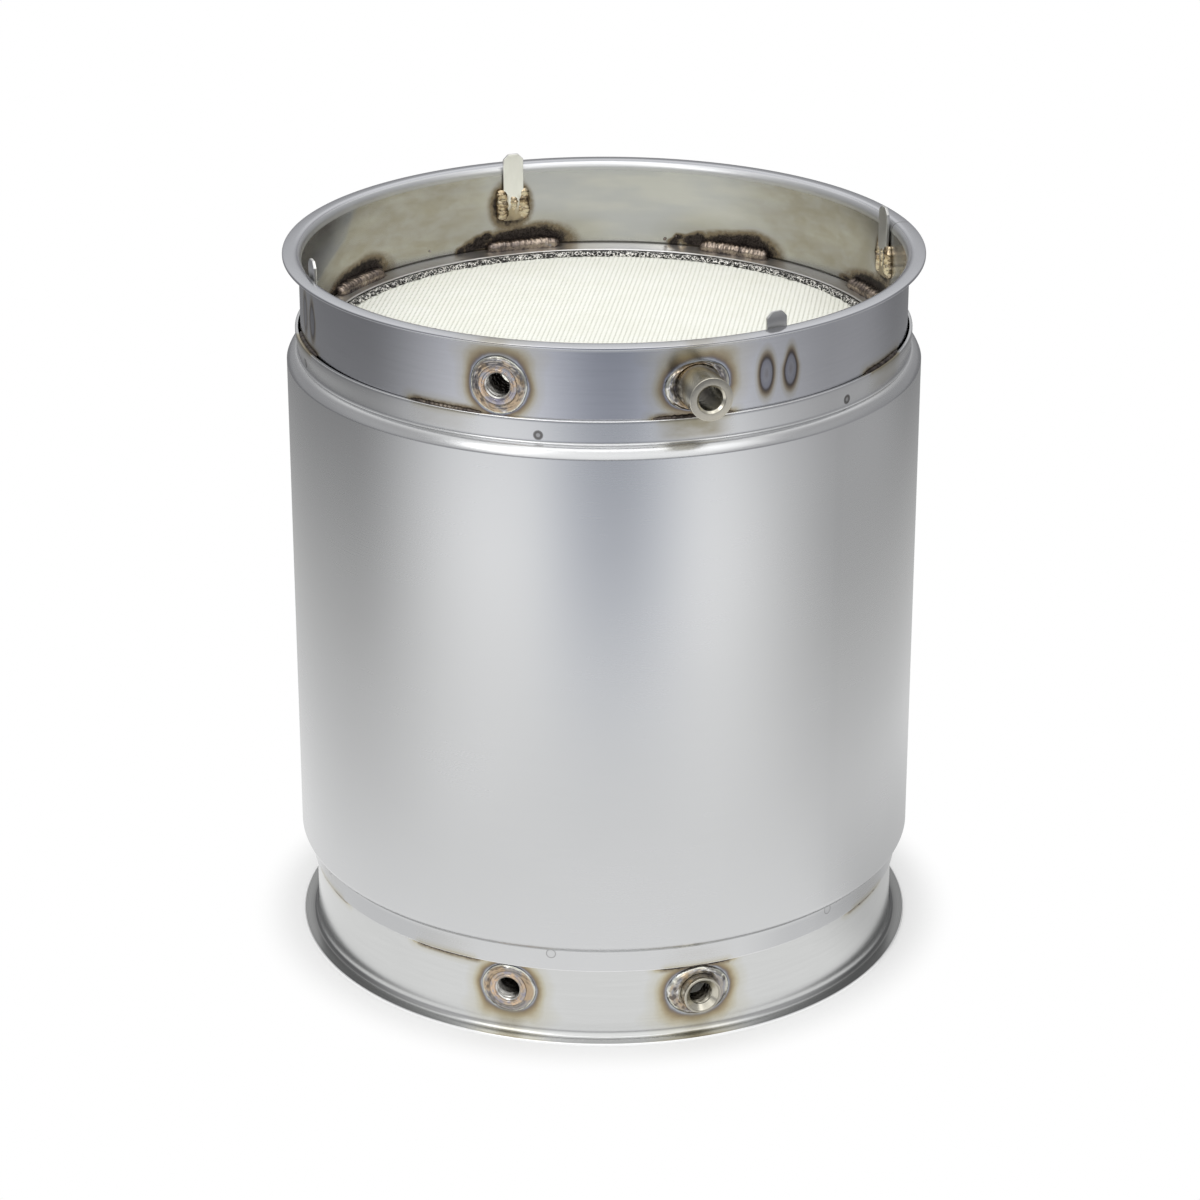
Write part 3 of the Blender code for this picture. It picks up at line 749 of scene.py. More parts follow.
def tab_heat(wall, turn):
    """Oval of soot round a tab's foot inside, and the two oval burns that its seams leave outside."""
    v = wall.z - 168.5
    away = (np.hypot((arc_gap(wall.azimuth, turn, BORE) - 1.2) / 9.0, v / 10.5) - 1) * 9
    wall.lift("soot", 0.78 - np.maximum(away, -1.0) / 9.5, False)
    for shift in (-7.3, 7.3):
        pinch = 1 + (0.30 * smooth(v, 0, 9) if shift > 0 else 0)
        u = (arc_gap(wall.azimuth, turn, RING) - shift) * pinch
        wall.lower("burn", np.hypot(u, (v + 0.1) * 0.43) / 4.0, True)


def inlet_stain(wall):
    """Straw film over the back of the upper ring's inside, with a slanting edge on the left, and painted
    shade before that edge."""
    azimuth, z = wall.azimuth, wall.z
    left, turned_by = azimuth < 0, np.abs(azimuth)
    start = np.where(left, np.interp(z, (157, 164.9, 171.9, 186.9), (102, 110.6, 117, 121)), 110)
    sharp = np.where(left, 1.5, 6)
    patch = smooth(turned_by - start, -sharp, sharp) * smooth(turned_by + 9 * (azimuth > 0), 168, 146)
    wall.lift("straw", 0.72 * patch * smooth(z, 191, 186) * smooth(z, 142, 152), False)
    shade = 0.85 * smooth(-azimuth - start, 1.5, -1.5) * smooth(z, 189, 185)
    wall.kept["cool"] = np.where(wall.outside | (azimuth > 0), 0.0, shade)


def heat_notes(obj, side):
    """Notes of a ring, from its bosses, the stitches on both its faces, its tabs and its stain."""
    wall = WallHeat(obj, side)
    for boss in BOSSES.values():
        if boss.height * side > 0:
            boss_heat(wall, boss)
    for turn in COLLAR_STITCHES[side]:
        collar_heat(wall, turn)
    for turn in STITCHES[side]:
        stitch_soot(wall, turn, side)
    if side > 0:
        for turn, high, wide in LONE_SOOT:
            away = np.hypot(arc_gap(wall.azimuth, turn, BORE) * 0.8, wall.z - high)
            wall.lift("soot", 1.45 - away / wide, False)
        for turn in TABS.values():
            tab_heat(wall, turn)
        inlet_stain(wall)
    wall.kept["edge"] = wall.kept["edge"] / 10
    notes(obj, **wall.kept)


def end_ring(name, side, finish):
    """Ring profile carried round the axis, with a round hole cut for each boss that it holds."""
    skin = looped(flipped(around(ring_profile(*FLARES[side]), azimuths()), side))
    ring = piece(name + "_flared_ring", [skin], finish, "ring_steel", name + "_end_ring")
    cutters = []
    a = np.radians(np.arange(0, 360, 6))
    through = RING + np.array([[-0.02], [0.02]])
    for boss in BOSSES.values():
        if boss.height * side > 0:
            r = boss.spigot + 0.00005
            rows = np.stack(np.broadcast_arrays(r * np.cos(a), r * np.sin(a), through), -1)
            cutters.append(capped(on_wall(rows, boss.azimuth, boss.height)))
    drilled(ring, cutters)
    heat_notes(ring, side)
    return ring


def shield(finish):
    """Shield: straight body drawn in over part of an ellipse to a collar at each end. A seam stands up at
    the back as a bell curve of the distance, and the collars' lips stand off in one at each side."""
    neck = 0.0012
    edge = 0.0004
    wide, tall = (SHIELD - COLLAR) / math.cos(math.radians(30)), (SHOULDER_TOP - SHOULDER_BASE) * 2
    outside = joined((SHIELD, SHOULDER_BASE - 0.0009), (SHIELD, SHOULDER_BASE - 0.0004),
                     arc((COLLAR, SHOULDER_TOP - tall), (wide, tall), 30, 84, 14),
                     arc((COLLAR + neck, SHOULDER_TOP + neck), (neck, neck), 250, 180, 6),
                     run((COLLAR, SHOULDER_TOP + 0.002), (COLLAR, COLLAR_END - edge), 0.0014),
                     arc((COLLAR - edge, COLLAR_END - edge), (edge, edge), 0, 90, 4)[1:])
    hollow = (SHIELD - COLLAR, SHOULDER_TOP - SHOULDER_BASE - SHEET)
    inside = joined((COLLAR_BORE, COLLAR_END), arc((COLLAR_BORE, SHOULDER_BASE), hollow, 90, 0, 8))
    body = run((SHIELD, 0.0009 - SHOULDER_BASE), (SHIELD, SHOULDER_BASE - 0.0009), 0.030)[1:-1]
    bore = run((SHIELD - SHEET, SHOULDER_BASE), (SHIELD - SHEET, -SHOULDER_BASE), 0.06)[1:-1]
    mirror = np.array([1, -1])
    profile = joined(outside, inside, bore, (inside * mirror)[::-1], (outside * mirror)[::-1], body)
    turns = np.arange(-180, 180, 0.75)
    seam = np.exp(-(arc_gap(turns, 180, SHIELD) / 2.2) ** 2) * 0.0004
    weight = (profile[:, :1] > COLLAR - 0.0002) * (np.abs(profile[:, 1:]) < SHOULDER_TOP)
    stand = 0.0011 * np.exp(-((turns + 82) / 27) ** 2) + 0.0008 * np.exp(-((turns - 84) / 24) ** 2)
    lip = smooth(profile[:, 1:], SHOULDER_TOP + 0.0015, COLLAR_END - 0.0020)
    skin = looped(around(profile, turns, seam * weight + stand * lip))
    obj = piece("heat_shield", [skin], finish, "shield_steel", "outer_shield")
    azimuth, radius, z = polar(obj)
    side = np.where(z > 0, 1, -1)
    straw = np.zeros(len(z))
    edge = np.full(len(z), 10.0)
    on_collar = smooth(np.abs(z), 0.1385, 0.1440)
    for way in (1, -1):
        for turn in COLLAR_STITCHES[way]:
            u = np.abs(arc_gap(azimuth, turn, COLLAR))
            near = smooth(u, 24, 6) * (side == way)
            share = {16: 0.95, 63: 0.5}.get(turn, 0.2) if way > 0 else 0.12
            straw = np.maximum(straw, near * on_collar * share)
            away = np.hypot(np.maximum(u - 17, 0), (COLLAR_END - np.abs(z)) * 1000)
            edge = np.where(side == way, np.minimum(edge, 2.4 + 1.6 * away), edge)
    turned_by = np.abs(azimuth)
    # Darker over 24 to 80 degrees each side of the front of the lower collar.
    cool = smooth(z, -SHOULDER_TOP, -0.1425) * smooth(turned_by, 24, 40) * smooth(turned_by, 80, 66)
    cool = cool * smooth(z * side, SHOULDER_TOP - 0.0005, SHOULDER_TOP + 0.0005) * (z < 0)
    # Painted shade: the collars' lining gets heavy soot, which paints it black where the gap to the ring
    # shows.
    shaded_lining = (radius < min(COLLAR_BORE + 0.0013, COLLAR - 0.0001)) & (np.abs(z) < COLLAR_END - 0.0001)
    notes(obj, cool=0.38 * cool, edge=edge / 10, burn=3.0, straw=straw, soot=1.5 * shaded_lining)


def band_height(radius):
    """Top of the retaining ring's band, which falls gently from the lip to the wall."""
    return LIP_TOP + 0.20 * (radius - LIP - 0.002)


def retaining_ring(name, side, finish):
    """Pressed ring: a flat band that falls from the wall to an elliptic lip."""
    nose = LIP + 0.0020
    rise = band_height(BAND) - LIP_TOP
    profile = joined((BAND, LIP_BOTTOM + rise), (nose, LIP_BOTTOM),
                     arc((LIP + 0.0007, LIP_BOTTOM + 0.0006), (0.0007, 0.0006), 270, 170, 6),
                     arc((nose, LIP_BOTTOM + 0.0004), (0.0020, LIP_TOP - LIP_BOTTOM - 0.0004), 170, 92, 7),
                     run((nose, LIP_TOP), (BAND, band_height(BAND)), 0.0012))
    skin = looped(flipped(around(profile, np.arange(-180, 180, 1.0)), side))
    obj = piece(name + "_pressed_ring", [skin], finish, "retainer_steel", name + "_retaining_ring")
    azimuth, radius, z = polar(obj)
    soot = np.zeros(len(z))
    straw = np.zeros(len(z))
    for turn in STITCHES[side]:
        u = np.maximum(np.abs(arc_gap(azimuth, turn, BAND)) - STITCH_LENGTH * 500, 0)
        away = np.hypot(u, np.maximum((0.1545 - radius) * 1000, 0))
        soot = np.maximum(soot, 0.36 - away / 2)
        straw = np.maximum(straw, smooth(away, 12, 1) * 0.4)
    notes(obj, edge=1.0, burn=3.0, straw=straw, soot=soot)


def bead_skin(r, z, azimuth, shift, back, side):
    """Rows of a bead's section at azimuths shifted by a length along the wall, closed by one point behind."""
    behind = np.broadcast_to(np.array(back, float), (len(r), 2))
    section = np.concatenate([np.stack([r, z], -1), behind[:, None]], 1)
    return flipped(turned(section[..., 0], section[..., 1], np.radians(azimuth + np.degrees(shift))), side)


def stitch(azimuth, side, seed):
    """Fillet bead in the corner of wall and band: a crowned quarter section along the wall, with ripples
    whose fronts lag towards the edges, and ends that shrink as the square root of a circle's fall."""
    along = np.linspace(-1, 1, 130)[1:-1, None]
    s = np.linspace(0, 1, 15)[None, :]
    half = STITCH_LENGTH / 2
    size = (1 - np.abs(along) ** 11) ** 0.5 * (1 + 0.08 * ruffle(along * 9, s * 0, seed))
    leg = 0.0049 * size
    wave = 2 * np.pi * (along * half / 0.0029 - 1.1 * (2 * s - 1) ** 2)
    crown = 0.0010 * np.sin(np.pi * s) * size
    ripple = 0.00005 * np.cos(wave) * smooth(s, 0, 0.25) * smooth(s, 1, 0.75)
    lump = 0.00034 * ruffle(along * 14, s * 4, seed + 3)
    lift = crown + (ripple + lump) * size
    bow = 0.00012 * (1 + np.cos(wave)) * smooth(s, 0.72, 1.0) * size
    inward = leg * np.cos(s * np.pi / 2) ** 0.9 + lift * 0.70
    upward = leg * np.sin(s * np.pi / 2) ** 0.9 + lift * 0.70 + bow
    r = BORE + 0.0001 - inward
    z = band_height(BORE - inward) + upward - 0.0002
    back = (BORE + 0.0003, band_height(BORE) - 0.0003)
    swing = 0.10 + 0.16 * smooth(s, 0.30, 0.50) * smooth(s, 0.80, 0.62)
    # Crest note: high on the ripples for a painted highlight, low in their troughs and along the lower edge
    # for painted shade, and lower over the upper part.
    crest = 0.38 + swing * np.cos(wave) + 0.25 * ruffle(along * 11, s * 3, seed + 6)
    crest = crest - 0.35 * smooth(s, 0.2, 0.0) - 0.34 * smooth(s, 0.62, 0.84)
    crest = np.concatenate([crest, np.zeros((len(along), 1))], 1)
    return bead_skin(r, z, azimuth, along * half / BORE, back, side), crest


def collar_stitch(azimuth, side, seed):
    """Thin fillet where the collar's edge meets the ring: a quarter section whose legs swell and shrink
    unevenly along it."""
    along = np.linspace(-1, 1, 90)[1:-1, None]
    s = np.linspace(0, 1, 9)[None, :]
    half = COLLAR_STITCH_LENGTH / 2
    size = (1 - np.abs(along) ** 6) ** 0.5 * (1 + 0.22 * ruffle(along * 26, s * 0, seed))
    leg = 0.0011 * size
    lump = 0.00010 * ruffle(along * 70, s * 6, seed + 2) * size * np.sin(np.pi * s)
    r = RING + 0.00005 + leg * np.cos(s * np.pi / 2) ** 0.8 * 1.25 + lump
    z = COLLAR_END - 0.0002 + leg * np.sin(s * np.pi / 2) ** 0.8 * 1.35 + lump
    back = (RING - 0.0002, COLLAR_END - 0.0004)
    crest = 0.45 + 0.25 * ruffle(along * 60, np.linspace(0, 5, 10)[None, :], seed)
    return bead_skin(r, z, azimuth, along * half / RING, back, side), crest


def beaded(name, made, finish, slot):
    """One piece out of several beads, with their crests noted point by point for painted highlight and shade.
    """
    obj = piece(name, [capped(grid) for grid, _ in made], finish, slot, crease=60)
    notes(obj, crest=np.concatenate([np.append(c.ravel(), [0.4, 0.4]) for _, c in made]))


def boss_weld(name, finish):
    """Oval collar of weld round a boss, on a wall that curves away as sqrt(R^2 - x^2). Its rise is a
    polynomial in the share from boss to toe, and a proud boss has two banks of lumps, each a bell curve."""
    boss = BOSSES[name]
    wide, tall, proud = boss.wide, boss.tall, boss.stand
    seed = abs(boss.azimuth) + boss.height * 10
    a = np.radians(np.arange(0, 360, 2.0))[None, :]
    s = np.linspace(0, 1, 26)[:, None]
    inner = boss.radius + 0.0001
    oval = wide * tall / np.hypot(tall * np.cos(a), wide * np.sin(a))
    oval = oval * (1 + 0.022 * ruffle(np.cos(a) * 2, np.sin(a) * 2, seed)) * (1 - drawn_in(boss, a))
    reach = inner + s * (oval - inner)
    flush = proud < 0.003
    if flush:
        rise = proud * (1 - s ** 2.6) ** 0.75 - 0.0002 * np.exp(-((s - 0.02) / 0.05) ** 2)
        banks = np.full_like(a, 0.25)
    else:
        rise = 0.0024 * (0.70 + 1.5 * s * (1 - s) - 0.70 * s ** 3)
        banks = np.exp(-((np.degrees(a) - 185) / 42) ** 2) + np.exp(-((np.degrees(a) - 48) / 30) ** 2) + 0.25
    bead = 0.00022 * np.exp(-((s - 0.88) / 0.07) ** 2)
    wave = a * 17 - 3.0 * s + 0.6 * ruffle(np.cos(a) * 4, np.sin(a) * 4, seed + 1)
    ripple = np.cos(wave) * np.sin(np.pi * np.clip(s * 1.05, 0, 1)) ** 0.8
    lump = ruffle(np.cos(a) * (2 + 4 * s), np.sin(a) * (2 + 4 * s), seed + 5, 4)
    rise = rise + bead + (0.00008 * ripple + 0.00070 * lump * np.sin(np.pi * s)) * (0.35 + banks) + 0.0001
    x, y = reach * np.cos(a), reach * np.sin(a)
    top = np.stack([x, y, np.sqrt(RING ** 2 - x ** 2) + rise], -1)
    under = top[[-1, 0]].copy()
    under[..., 2] = np.sqrt(RING ** 2 - under[..., 0] ** 2) - 0.0006
    grid = on_wall(np.concatenate([top, under]), boss.azimuth, boss.height)
    obj = piece(name + "_fused_collar", [looped(grid)], finish, "weld_metal", name + "_weld", crease=60)
    # Crest note: high on lumps, ripples and the ridge at the toe for a painted highlight, low between them
    # for painted shade; a flush boss's is lower over its inner left.
    crest = 0.42 + (0.22 * ripple + 0.75 * lump) * (0.25 + banks) + 0.30 * np.exp(-((s - 0.88) / 0.07) ** 2)
    if flush:
        crest = crest - 0.45 * np.exp(-((np.degrees(a) - 200) / 48) ** 2) * smooth(s, 0.62, 0.30)
    share = np.broadcast_to(np.concatenate([s, [[1.0], [0.0]]]), grid.shape[:2])
    notes(obj, crest=np.concatenate([crest, np.full((2, a.size), 0.2)]).ravel(), share=share.ravel())


def threaded_boss(name, finish):
    """Turned boss whose bore has a rolled-off screw thread: the bore's radius follows a triangle wave of
    (depth / pitch - turn), which closes on itself round the bore."""
    turn, height, radius, spigot, proud, depth, mouth = BOSSES[name][:7]
    tall = proud > 0.02
    thread, screw, ease = 0.0015, 0.0062, 0.0003
    cut, gloom = (0.00020, 0.030) if tall else (0.00062, 0.014)
    face, tail, foot = RING + proud, RING - depth, RING + 0.0003
    phi = np.radians(np.arange(0, 360, 7.5))
    bore = run((screw, tail + 0.0004), (screw, face - mouth - 0.0002), 0.00028)
    outer = [arc((screw + mouth + 0.0002, face - 0.0002), (0.0002, 0.0002), 180, 90, 3),
             arc((radius - ease, face - ease), (ease, ease), 90, 0, 5)]
    if spigot == radius:
        outer.insert(1, arc((screw + mouth + 0.0010, face - 0.0001), (0.0007, 0.0006), 172, 8, 7))
    if spigot < radius:
        outer += [[(radius, foot)], [(spigot, foot)]]
    outer += [[(spigot, tail + 0.0003)], [(spigot - 0.0003, tail)], [(screw + 0.0008, tail)]]
    profile = joined(bore, *outer)
    z = profile[:, 1:]
    in_bore = (profile[:, :1] <= screw + 1e-6)
    share = z / thread - phi[None, :] / (2 * np.pi)
    tooth = np.clip(2.4 * np.abs(share - np.floor(share) - 0.5) - 0.15, 0, 1)
    fade = smooth(z, face - mouth - 0.0002, face - mouth - 0.0016)
    r = profile[:, :1] + in_bore * cut * tooth * fade
    grid = np.stack([r * np.cos(phi), r * np.sin(phi), np.broadcast_to(z, r.shape)], -1)
    skin = looped(on_wall(grid, turn, height))
    obj = piece(name + "_screwed", [skin], finish, "boss_steel", name, crease=21)
    in_mouth = profile[:, :1] <= screw + mouth + 1e-6
    # Depth down the mouth and bore, for the painted shade there; -1 marks the tall boss's end face.
    down = np.where(in_mouth, np.clip((face - z) / gloom, 0.03, 1), 0)
    if proud > 0.003:
        down = np.where((z > face - 0.0001) & ~in_mouth & (profile[:, :1] < radius - 0.0002), -1.0, down)
    notes(obj, down=(down + 0 * phi).ravel())


def tab(label, azimuth, finish):
    """Flat tab: an outline with clipped corners, eased by averaging each point with its neighbours, carried
    through a thickness with soft edges."""
    wide, sheet, length, rise, clip = 0.0117, 0.0016, 0.0384, 0.0067, 0.0030
    half, foot, ease = wide / 2, rise - length, 0.00022
    outer = BORE * math.cos(math.pi / 48) - 0.0003
    corners = [(-half, foot), (half, foot), (half, rise - clip), (half - clip, rise), (clip - half, rise),
               (-half, rise - clip)]
    sides = [run(p, q, 0.0008)[:-1] for p, q in zip(corners, corners[1:] + corners[:1])]
    outline = np.concatenate(sides)
    outline = (np.roll(outline, 1, 0) + 4 * outline + np.roll(outline, -1, 0)) / 6
    ahead = np.roll(outline, -1, 0) - np.roll(outline, 1, 0)
    inward = np.stack([-ahead[:, 1], ahead[:, 0]], -1) / np.linalg.norm(ahead, axis=1)[:, None]
    rows = []
    soft = ease * 0.3
    edge = ((ease, 0), (soft, soft), (0, ease), (0, sheet - ease), (soft, sheet - soft), (ease, sheet))
    for pull, deep in edge:
        flat = outline + inward * pull
        rows.append(np.concatenate([flat, np.full((len(flat), 1), outer - deep)], 1))
    grid = on_wall(np.array(rows), azimuth, HALF)
    obj = piece("tab_" + label, [capped(grid)], finish, "tab_steel", "locating_tab_" + label, crease=20)
    turn, radius, z = polar(obj)
    deep = radius * np.cos(np.radians(arc_gap(turn, azimuth, 1) / math.radians(1000)))
    # The back note marks painted shade: the outer face, and all of the right tab.
    back = np.maximum(smooth(deep, outer - 0.0006, outer - 0.0002), 0.75 if label == "right" else 0.0)
    notes(obj, back=back, soot=smooth(z, 0.1800, 0.1690) * 0.75)


def tab_beads(azimuth, seed):
    """Beads up both sides of a tab's foot and a small one between: half rounds (cos, sin) whose size falls
    to the ends as a power of the length, with a rough skin."""
    half, foot = 0.0117 / 2, 0.0067 - 0.0384
    base = BORE * math.cos(math.pi / 48) - 0.0001
    edge = (foot - 0.0004, 0.0190, 0.0036, 0.0028)
    beads = ((-half - 0.0004, *edge), (half + 0.0004, *edge), (0.0, foot + 0.0040, 0.0120, 0.0026, 0.0024))
    made = []
    for k, (centre, low, length, wide, crown) in enumerate(beads):
        t = np.linspace(0, 1, 46)[1:-1, None]
        s = np.linspace(0, 1, 15)[None, :]
        size = (1 - np.abs(2 * t - 1) ** 4) ** 0.5 * (1 + 0.16 * ruffle(t * 9, s * 0, seed + k))
        lump = 1 + 0.26 * ruffle(t * 9, s * 4, seed + 2 * k, 4)
        sway = 0.0006 * ruffle(t * 6, s * 0, seed + 5 + k)
        x = centre + sway + wide * size * np.cos(np.pi * s) * (1 + 0.05 * ruffle(t * 20, s * 3, seed + 9))
        deep = crown * size * np.sin(np.pi * s) ** 0.8 * lump
        y = low + t * length + 0 * s
        front = np.stack([x, y, base - deep], -1)
        back = np.stack(np.broadcast_arrays(centre, low + t * length, base + 0.0002), -1)
        crest = np.concatenate([0.5 + 0.5 * ruffle(t * 12, s * 6, seed + k + 4), np.zeros((len(t), 1))], 1)
        made.append((on_wall(np.concatenate([front, back], 1), azimuth, HALF), crest))
    return made


def spatter(places):
    """Small balls of weld metal, as latitudes and longitudes of a sphere: (azimuth, radius, height, size)."""
    skins = []
    for azimuth, radius, height, size in places:
        lat = np.radians(np.linspace(-80, 80, 9))[:, None]
        lon = np.radians(np.arange(0, 360, 24))[None, :]
        ball = np.stack([np.cos(lat) * np.cos(lon), np.cos(lat) * np.sin(lon), np.sin(lat) + 0 * lon], -1)
        grid = size * ball + turned(radius, height, math.radians(azimuth))
        skins.append((grid, np.full(grid.shape[:2], 0.35)))
    return skins


def honeycomb(name, side, half, finish):
    """Half of a channelled face: corners at (i, j) times the pitch, turned to the rows' angle, with every
    cell of even i + j sunk as a square well, inside a wall on the upper face. A skirt down from the border
    and a flat underside close it."""
    wall, deep, slab = 0.00036 * (side > 0), 0.0080, 0.0100
    reach, radius = 83, 0.1455
    across = np.arange(0, reach) if half > 0 else np.arange(-reach, 0)
    i, j = np.meshgrid(np.arange(-reach, reach), across, indexing="ij")
    inside = np.hypot(i + 0.5, j + 0.5) * PITCH < radius
    i, j = i[inside], j[inside]
    size = 2 * reach + 1
    square = ((0, 0), (1, 0), (1, 1), (0, 1))
    corner = np.stack([(i + di + reach) * size + (j + dj + reach) for di, dj in square], -1)
    used, index = np.unique(corner, return_inverse=True)
    index = index.reshape(corner.shape)
    lattice = np.stack([used // size - reach, used % size - reach], -1) * PITCH
    top = np.concatenate([lattice, np.full((len(used), 1), FACE)], 1)
    open_cell = (i + j) % 2 == 0
    middle = (np.stack([i, j], -1)[open_cell] + 0.5) * PITCH
    offsets = (PITCH / 2 - wall) * np.array([(-1, -1), (1, -1), (1, 1), (-1, 1)])
    mouth = (middle[:, None, :] + offsets[None]).reshape(-1, 2)
    count = len(middle)
    floor = len(top) + np.arange(count * 4).reshape(-1, 4)
    sinks = (deep, 0) if side > 0 else (deep,)
    levels = [index[open_cell], floor + count * 4, floor] if side > 0 else [index[open_cell], floor]
    faces = [index[~open_cell], floor]
    for first, second in zip(levels[:-1], levels[1:]):
        for k in range(4):
            n = (k + 1) % 4
            faces.append(np.stack([first[:, k], first[:, n], second[:, n], second[:, k]], -1))
    edges = np.concatenate([np.stack([index[:, k], index[:, (k + 1) % 4]], -1) for k in range(4)])
    key = edges[:, 0] * len(used) + edges[:, 1]
    back = edges[:, 1] * len(used) + edges[:, 0]
    border = edges[~np.isin(key, back)]
    follows = dict(border.tolist())
    loop = [int(border[0, 0])]
    while follows[loop[-1]] != loop[0]:
        loop.append(follows[loop[-1]])
    loop = np.array(loop)
    base = len(top) + count * 4 * len(sinks)
    under = base + np.arange(len(loop))
    here, there = np.arange(len(loop)), (np.arange(len(loop)) + 1) % len(loop)
    faces.append(np.stack([loop[there], loop[here], under[here], under[there]], -1))
    lower = top[loop] - np.array([0, 0, slab])
    wells = [np.concatenate([mouth, np.full((len(mouth), 1), FACE - sink)], 1) for sink in sinks]
    points = np.concatenate([top, *wells, lower])
    t = math.radians(CELL_TURN)
    x, y = points[:, 0].copy(), points[:, 1].copy()
    points[:, 0] = x * math.cos(t) - y * math.sin(t)
    points[:, 1] = x * math.sin(t) + y * math.cos(t)
    faces.append(under[::-1][None])
    piece(name, [(flipped(points, side), faces)], finish, "cordierite", crease=30)


def ceramic_core(finish):
    """Block with a shallow round recess in each end, in which the channelled faces lie: its half section
    carried round the axis."""
    inner, deep = 0.1471, 0.0103
    recess = run((0.02, FACE - deep), (inner, FACE - deep), 0.04)
    profile = joined(recess, (inner, FACE), run((CERAMIC, FACE), (CERAMIC, -FACE), 0.04), (inner, -FACE),
                     (recess * np.array([1, -1]))[::-1])
    skin = capped(around(profile, np.arange(-180, 180, 2.0)))
    piece("ceramic_core", [skin], finish, "cordierite", "ceramic_filter")


def wire_rope(name, side, finish):
    """Rope of knitted wire squeezed under the pressed ring: a half round, low beneath the lip and swelling
    up inside it, lifted by the product of two crossing sine waves, its loops, and by roughness."""
    turns = np.linspace(-180, 180, 1600 if side > 0 else 900, endpoint=False)
    s = np.linspace(0, 1, 15)[:, None]
    t = np.radians(turns)[None, :]
    mm_per_radian = 149
    along = t * mm_per_radian
    loops = np.sin(along * 2.2 + 9 * s) * np.sin(along * 1.31 - 11 * s)
    rough = ruffle(along * 1.9, s * 8 + 0 * along, 4) + 0.6 * ruffle(along * 4.3, s * 15 + 0 * along, 7)
    lift = 0.00025 * loops + 0.00024 * rough
    middle, wide = CERAMIC - 0.0034, 0.0034
    r = middle - (wide + lift) * np.cos(np.pi * s)
    swell = 0.0011 + 0.0012 * smooth(r, LIP + 0.0002, LIP - 0.0010)
    z = FACE + 0.0003 + (swell + lift * smooth(r, LIP + 0.001, LIP - 0.0005)) * np.sin(np.pi * s) ** 0.5
    grid = turned(r, z, t)
    base = grid[[-1, 0]].copy()
    base[..., 2] = FACE + 0.0001
    skin = looped(flipped(np.concatenate([grid, base]), side))
    piece(name + "_wire_rope", [skin], finish, "knitted_wire", name + "_mesh_seal", crease=80)


def dress():
    """Make every piece and finish the solids that stay."""
    finish = build_materials()
    shield(finish["shield"])
    ceramic_core(finish["ceramic"])
    for name, side in (("upper", 1), ("lower", -1)):
        end_ring(name, side, finish[name + "_ring"])
        retaining_ring(name, side, finish["retainer"])
        wire_rope(name, side, finish["wire"])
        for half, label in ((1, "right"), (-1, "left")):
            honeycomb(name + "_channels_" + label, side, half, finish["ceramic"])
        beads = [stitch(a, side, k) for k, a in enumerate(STITCHES[side])]
        beaded(name + "_stitches", beads, finish["stitch"], "weld_metal")
        beads = [collar_stitch(a, side, k) for k, a in enumerate(COLLAR_STITCHES[side])]
        beaded(name + "_collar_stitches", beads, finish["collar_weld"], "weld_metal")
    for name in BOSSES:
        boss_weld(name, finish["boss_weld"])
        threaded_boss(name, finish["boss_bright" if "pressure" in name else "boss_tinted"])
    for k, (label, azimuth) in enumerate(TABS.items()):
        tab(label, azimuth, finish["tab"])
        beaded("tab_%s_seams" % label, tab_beads(azimuth, 3 * k), finish["tab_weld"], "weld_metal")
    balls = spatter(((167.4, BORE - 0.0006, 0.1474, 0.0009), (-142, BORE - 0.0004, 0.1492, 0.0006),
                     (165.0, BORE - 0.0003, 0.1496, 0.0005), (163.5, BORE - 0.0003, 0.1484, 0.0004)))
    beaded("spatter", balls, finish["stitch"], "weld_metal")
    for node, name in (("insulation_blanket", "fibre"), ("support_mat", "fibre"), ("filter_can", "can")):
        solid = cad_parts[node]
        solid.data.materials.clear()
        solid.data.materials.append(finish[name])


def camera():
    """Camera at the photograph's place: 22.4 degrees down, centred on the axis."""
    data = bpy.data.cameras.new("camera")
    data.sensor_width = 36
    data.lens = 109.775
    data.shift_x = -0.00333
    data.shift_y = -0.0165
    obj = bpy.data.objects.new("camera", data)
    obj.location = (0, -1.8387, 0.7602)
    obj.rotation_euler = (math.radians(90 - 22.42), 0, 0)
    bpy.context.collection.objects.link(obj)
    bpy.context.scene.camera = obj


def grey(level):
    """Colour with three equal parts."""
    return level, level, level


